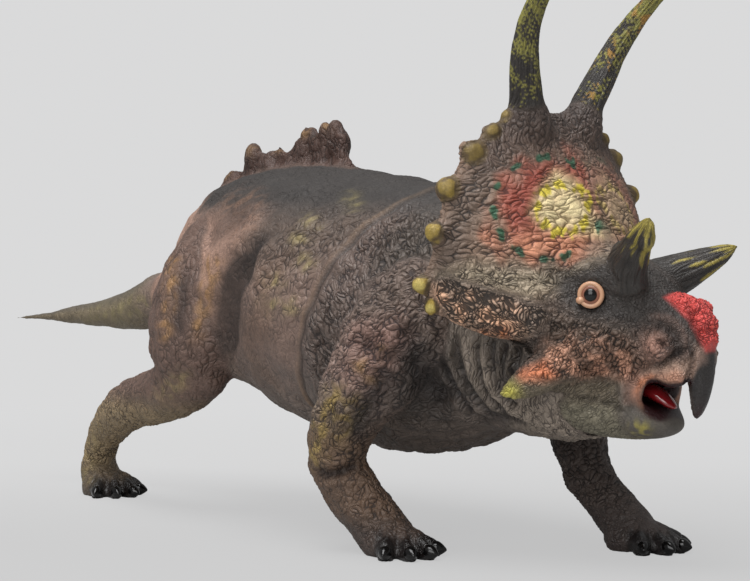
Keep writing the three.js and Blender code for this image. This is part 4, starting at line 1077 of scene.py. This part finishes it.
tongue = copy_of("tongue")
tongue.name = tongue.data.name = "wet_tongue"
swell = tongue.modifiers.new("round", "SUBSURF")
swell.levels = swell.render_levels = 2
bpy.ops.object.modifier_apply(modifier="round")
points = column(tongue.data.vertices, "co") / MM
ahead = in_head(points)[:, 0]
points[:, 2] += 0.6 * (points[:, 2] - points[:, 2].mean()) + 1.6 * ease(ahead, 11, 18)
tongue.data.vertices.foreach_set("co", (points * MM).ravel())
bpy.ops.object.shade_smooth()
tongue.data.materials.clear()
tongue.data.materials.append(gloss("wet_red_paint", "701317", 0.16, 0.9))
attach(tongue, "root")
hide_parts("tongue")

# The studio: a pale floor that runs out into a pale backdrop, one large softbox overhead and a
# fill from the camera's left.
bpy.ops.object.select_all(action="DESELECT")
bpy.ops.mesh.primitive_grid_add(x_subdivisions=8, y_subdivisions=8, size=6.0, location=(0, 0, 0))
floor = bpy.context.active_object
floor.name = "floor"
backdrop_colour = (0.7, 0.7, 0.703, 1)
floor_paint = paint_of("pale_floor", {"Base Color": (0.45, 0.45, 0.45, 1), "Roughness": 0.8})
tree = floor_paint.node_tree
place = add_node(tree, "ShaderNodeTexCoord").outputs["Object"]
reach = add_node(tree, "ShaderNodeVectorMath", {0: place}, operation="LENGTH").outputs["Value"]
along = add_node(tree, "ShaderNodeVectorMath", {0: place, 1: look}, operation="DOT_PRODUCT").outputs["Value"]
# Painted light: to the camera the floor mostly glows in the backdrop's colour, dimmer towards the camera as a
# painted fall-off of light, which also thins the shadows cast on it.
inputs = {"Color": backdrop_colour, "Strength": between(tree, along, -0.05, 0.11, 0.86)}
floor_glow = add_node(tree, "ShaderNodeEmission", inputs)
camera_ray = add_node(tree, "ShaderNodeLightPath").outputs["Is Camera Ray"]
inputs = {0: between(tree, reach, 0.02, 0.28, 0.82), 1: camera_ray}
glow_share = add_node(tree, "ShaderNodeMath", inputs, operation="MULTIPLY")
board = tree.nodes["Principled BSDF"]
mix = add_node(tree, "ShaderNodeMixShader", {0: glow_share.outputs[0], 1: board.outputs[0], 2: floor_glow.outputs[0]})
fill(tree, tree.nodes["Material Output"], {"Surface": mix.outputs[0]})
floor.data.materials.append(floor_paint)

world = bpy.data.worlds.new("studio")
scene.world = world
world.use_nodes = True
tree = world.node_tree
ambient = fill(tree, tree.nodes["Background"], {"Color": (1, 1, 1, 1), "Strength": 0.33})
backdrop = add_node(tree, "ShaderNodeBackground", {"Color": backdrop_colour})
camera_ray = add_node(tree, "ShaderNodeLightPath").outputs["Is Camera Ray"]
mix = add_node(tree, "ShaderNodeMixShader", {0: camera_ray, 1: ambient.outputs[0], 2: backdrop.outputs[0]})
fill(tree, tree.nodes["World Output"], {"Surface": mix.outputs[0]})


def softbox(name, place, aim, width, height, power):
    lamp = bpy.data.objects.new(name, bpy.data.lights.new(name, "AREA"))
    lamp.data.shape, lamp.data.size, lamp.data.size_y = "RECTANGLE", width, height
    lamp.data.energy = power
    lamp.location = place
    lamp.rotation_euler = (Vector(aim) - Vector(place)).to_track_quat("-Z", "Y").to_euler()
    scene.collection.objects.link(lamp)


softbox("overhead_softbox", (0.1, -0.16, 0.6), (0.02, 0.0, 0.03), 0.42, 0.42, 4.6)
softbox("front_fill", (0.35, -0.5, 0.3), (0.02, 0.0, 0.04), 0.4, 0.4, 2.1)
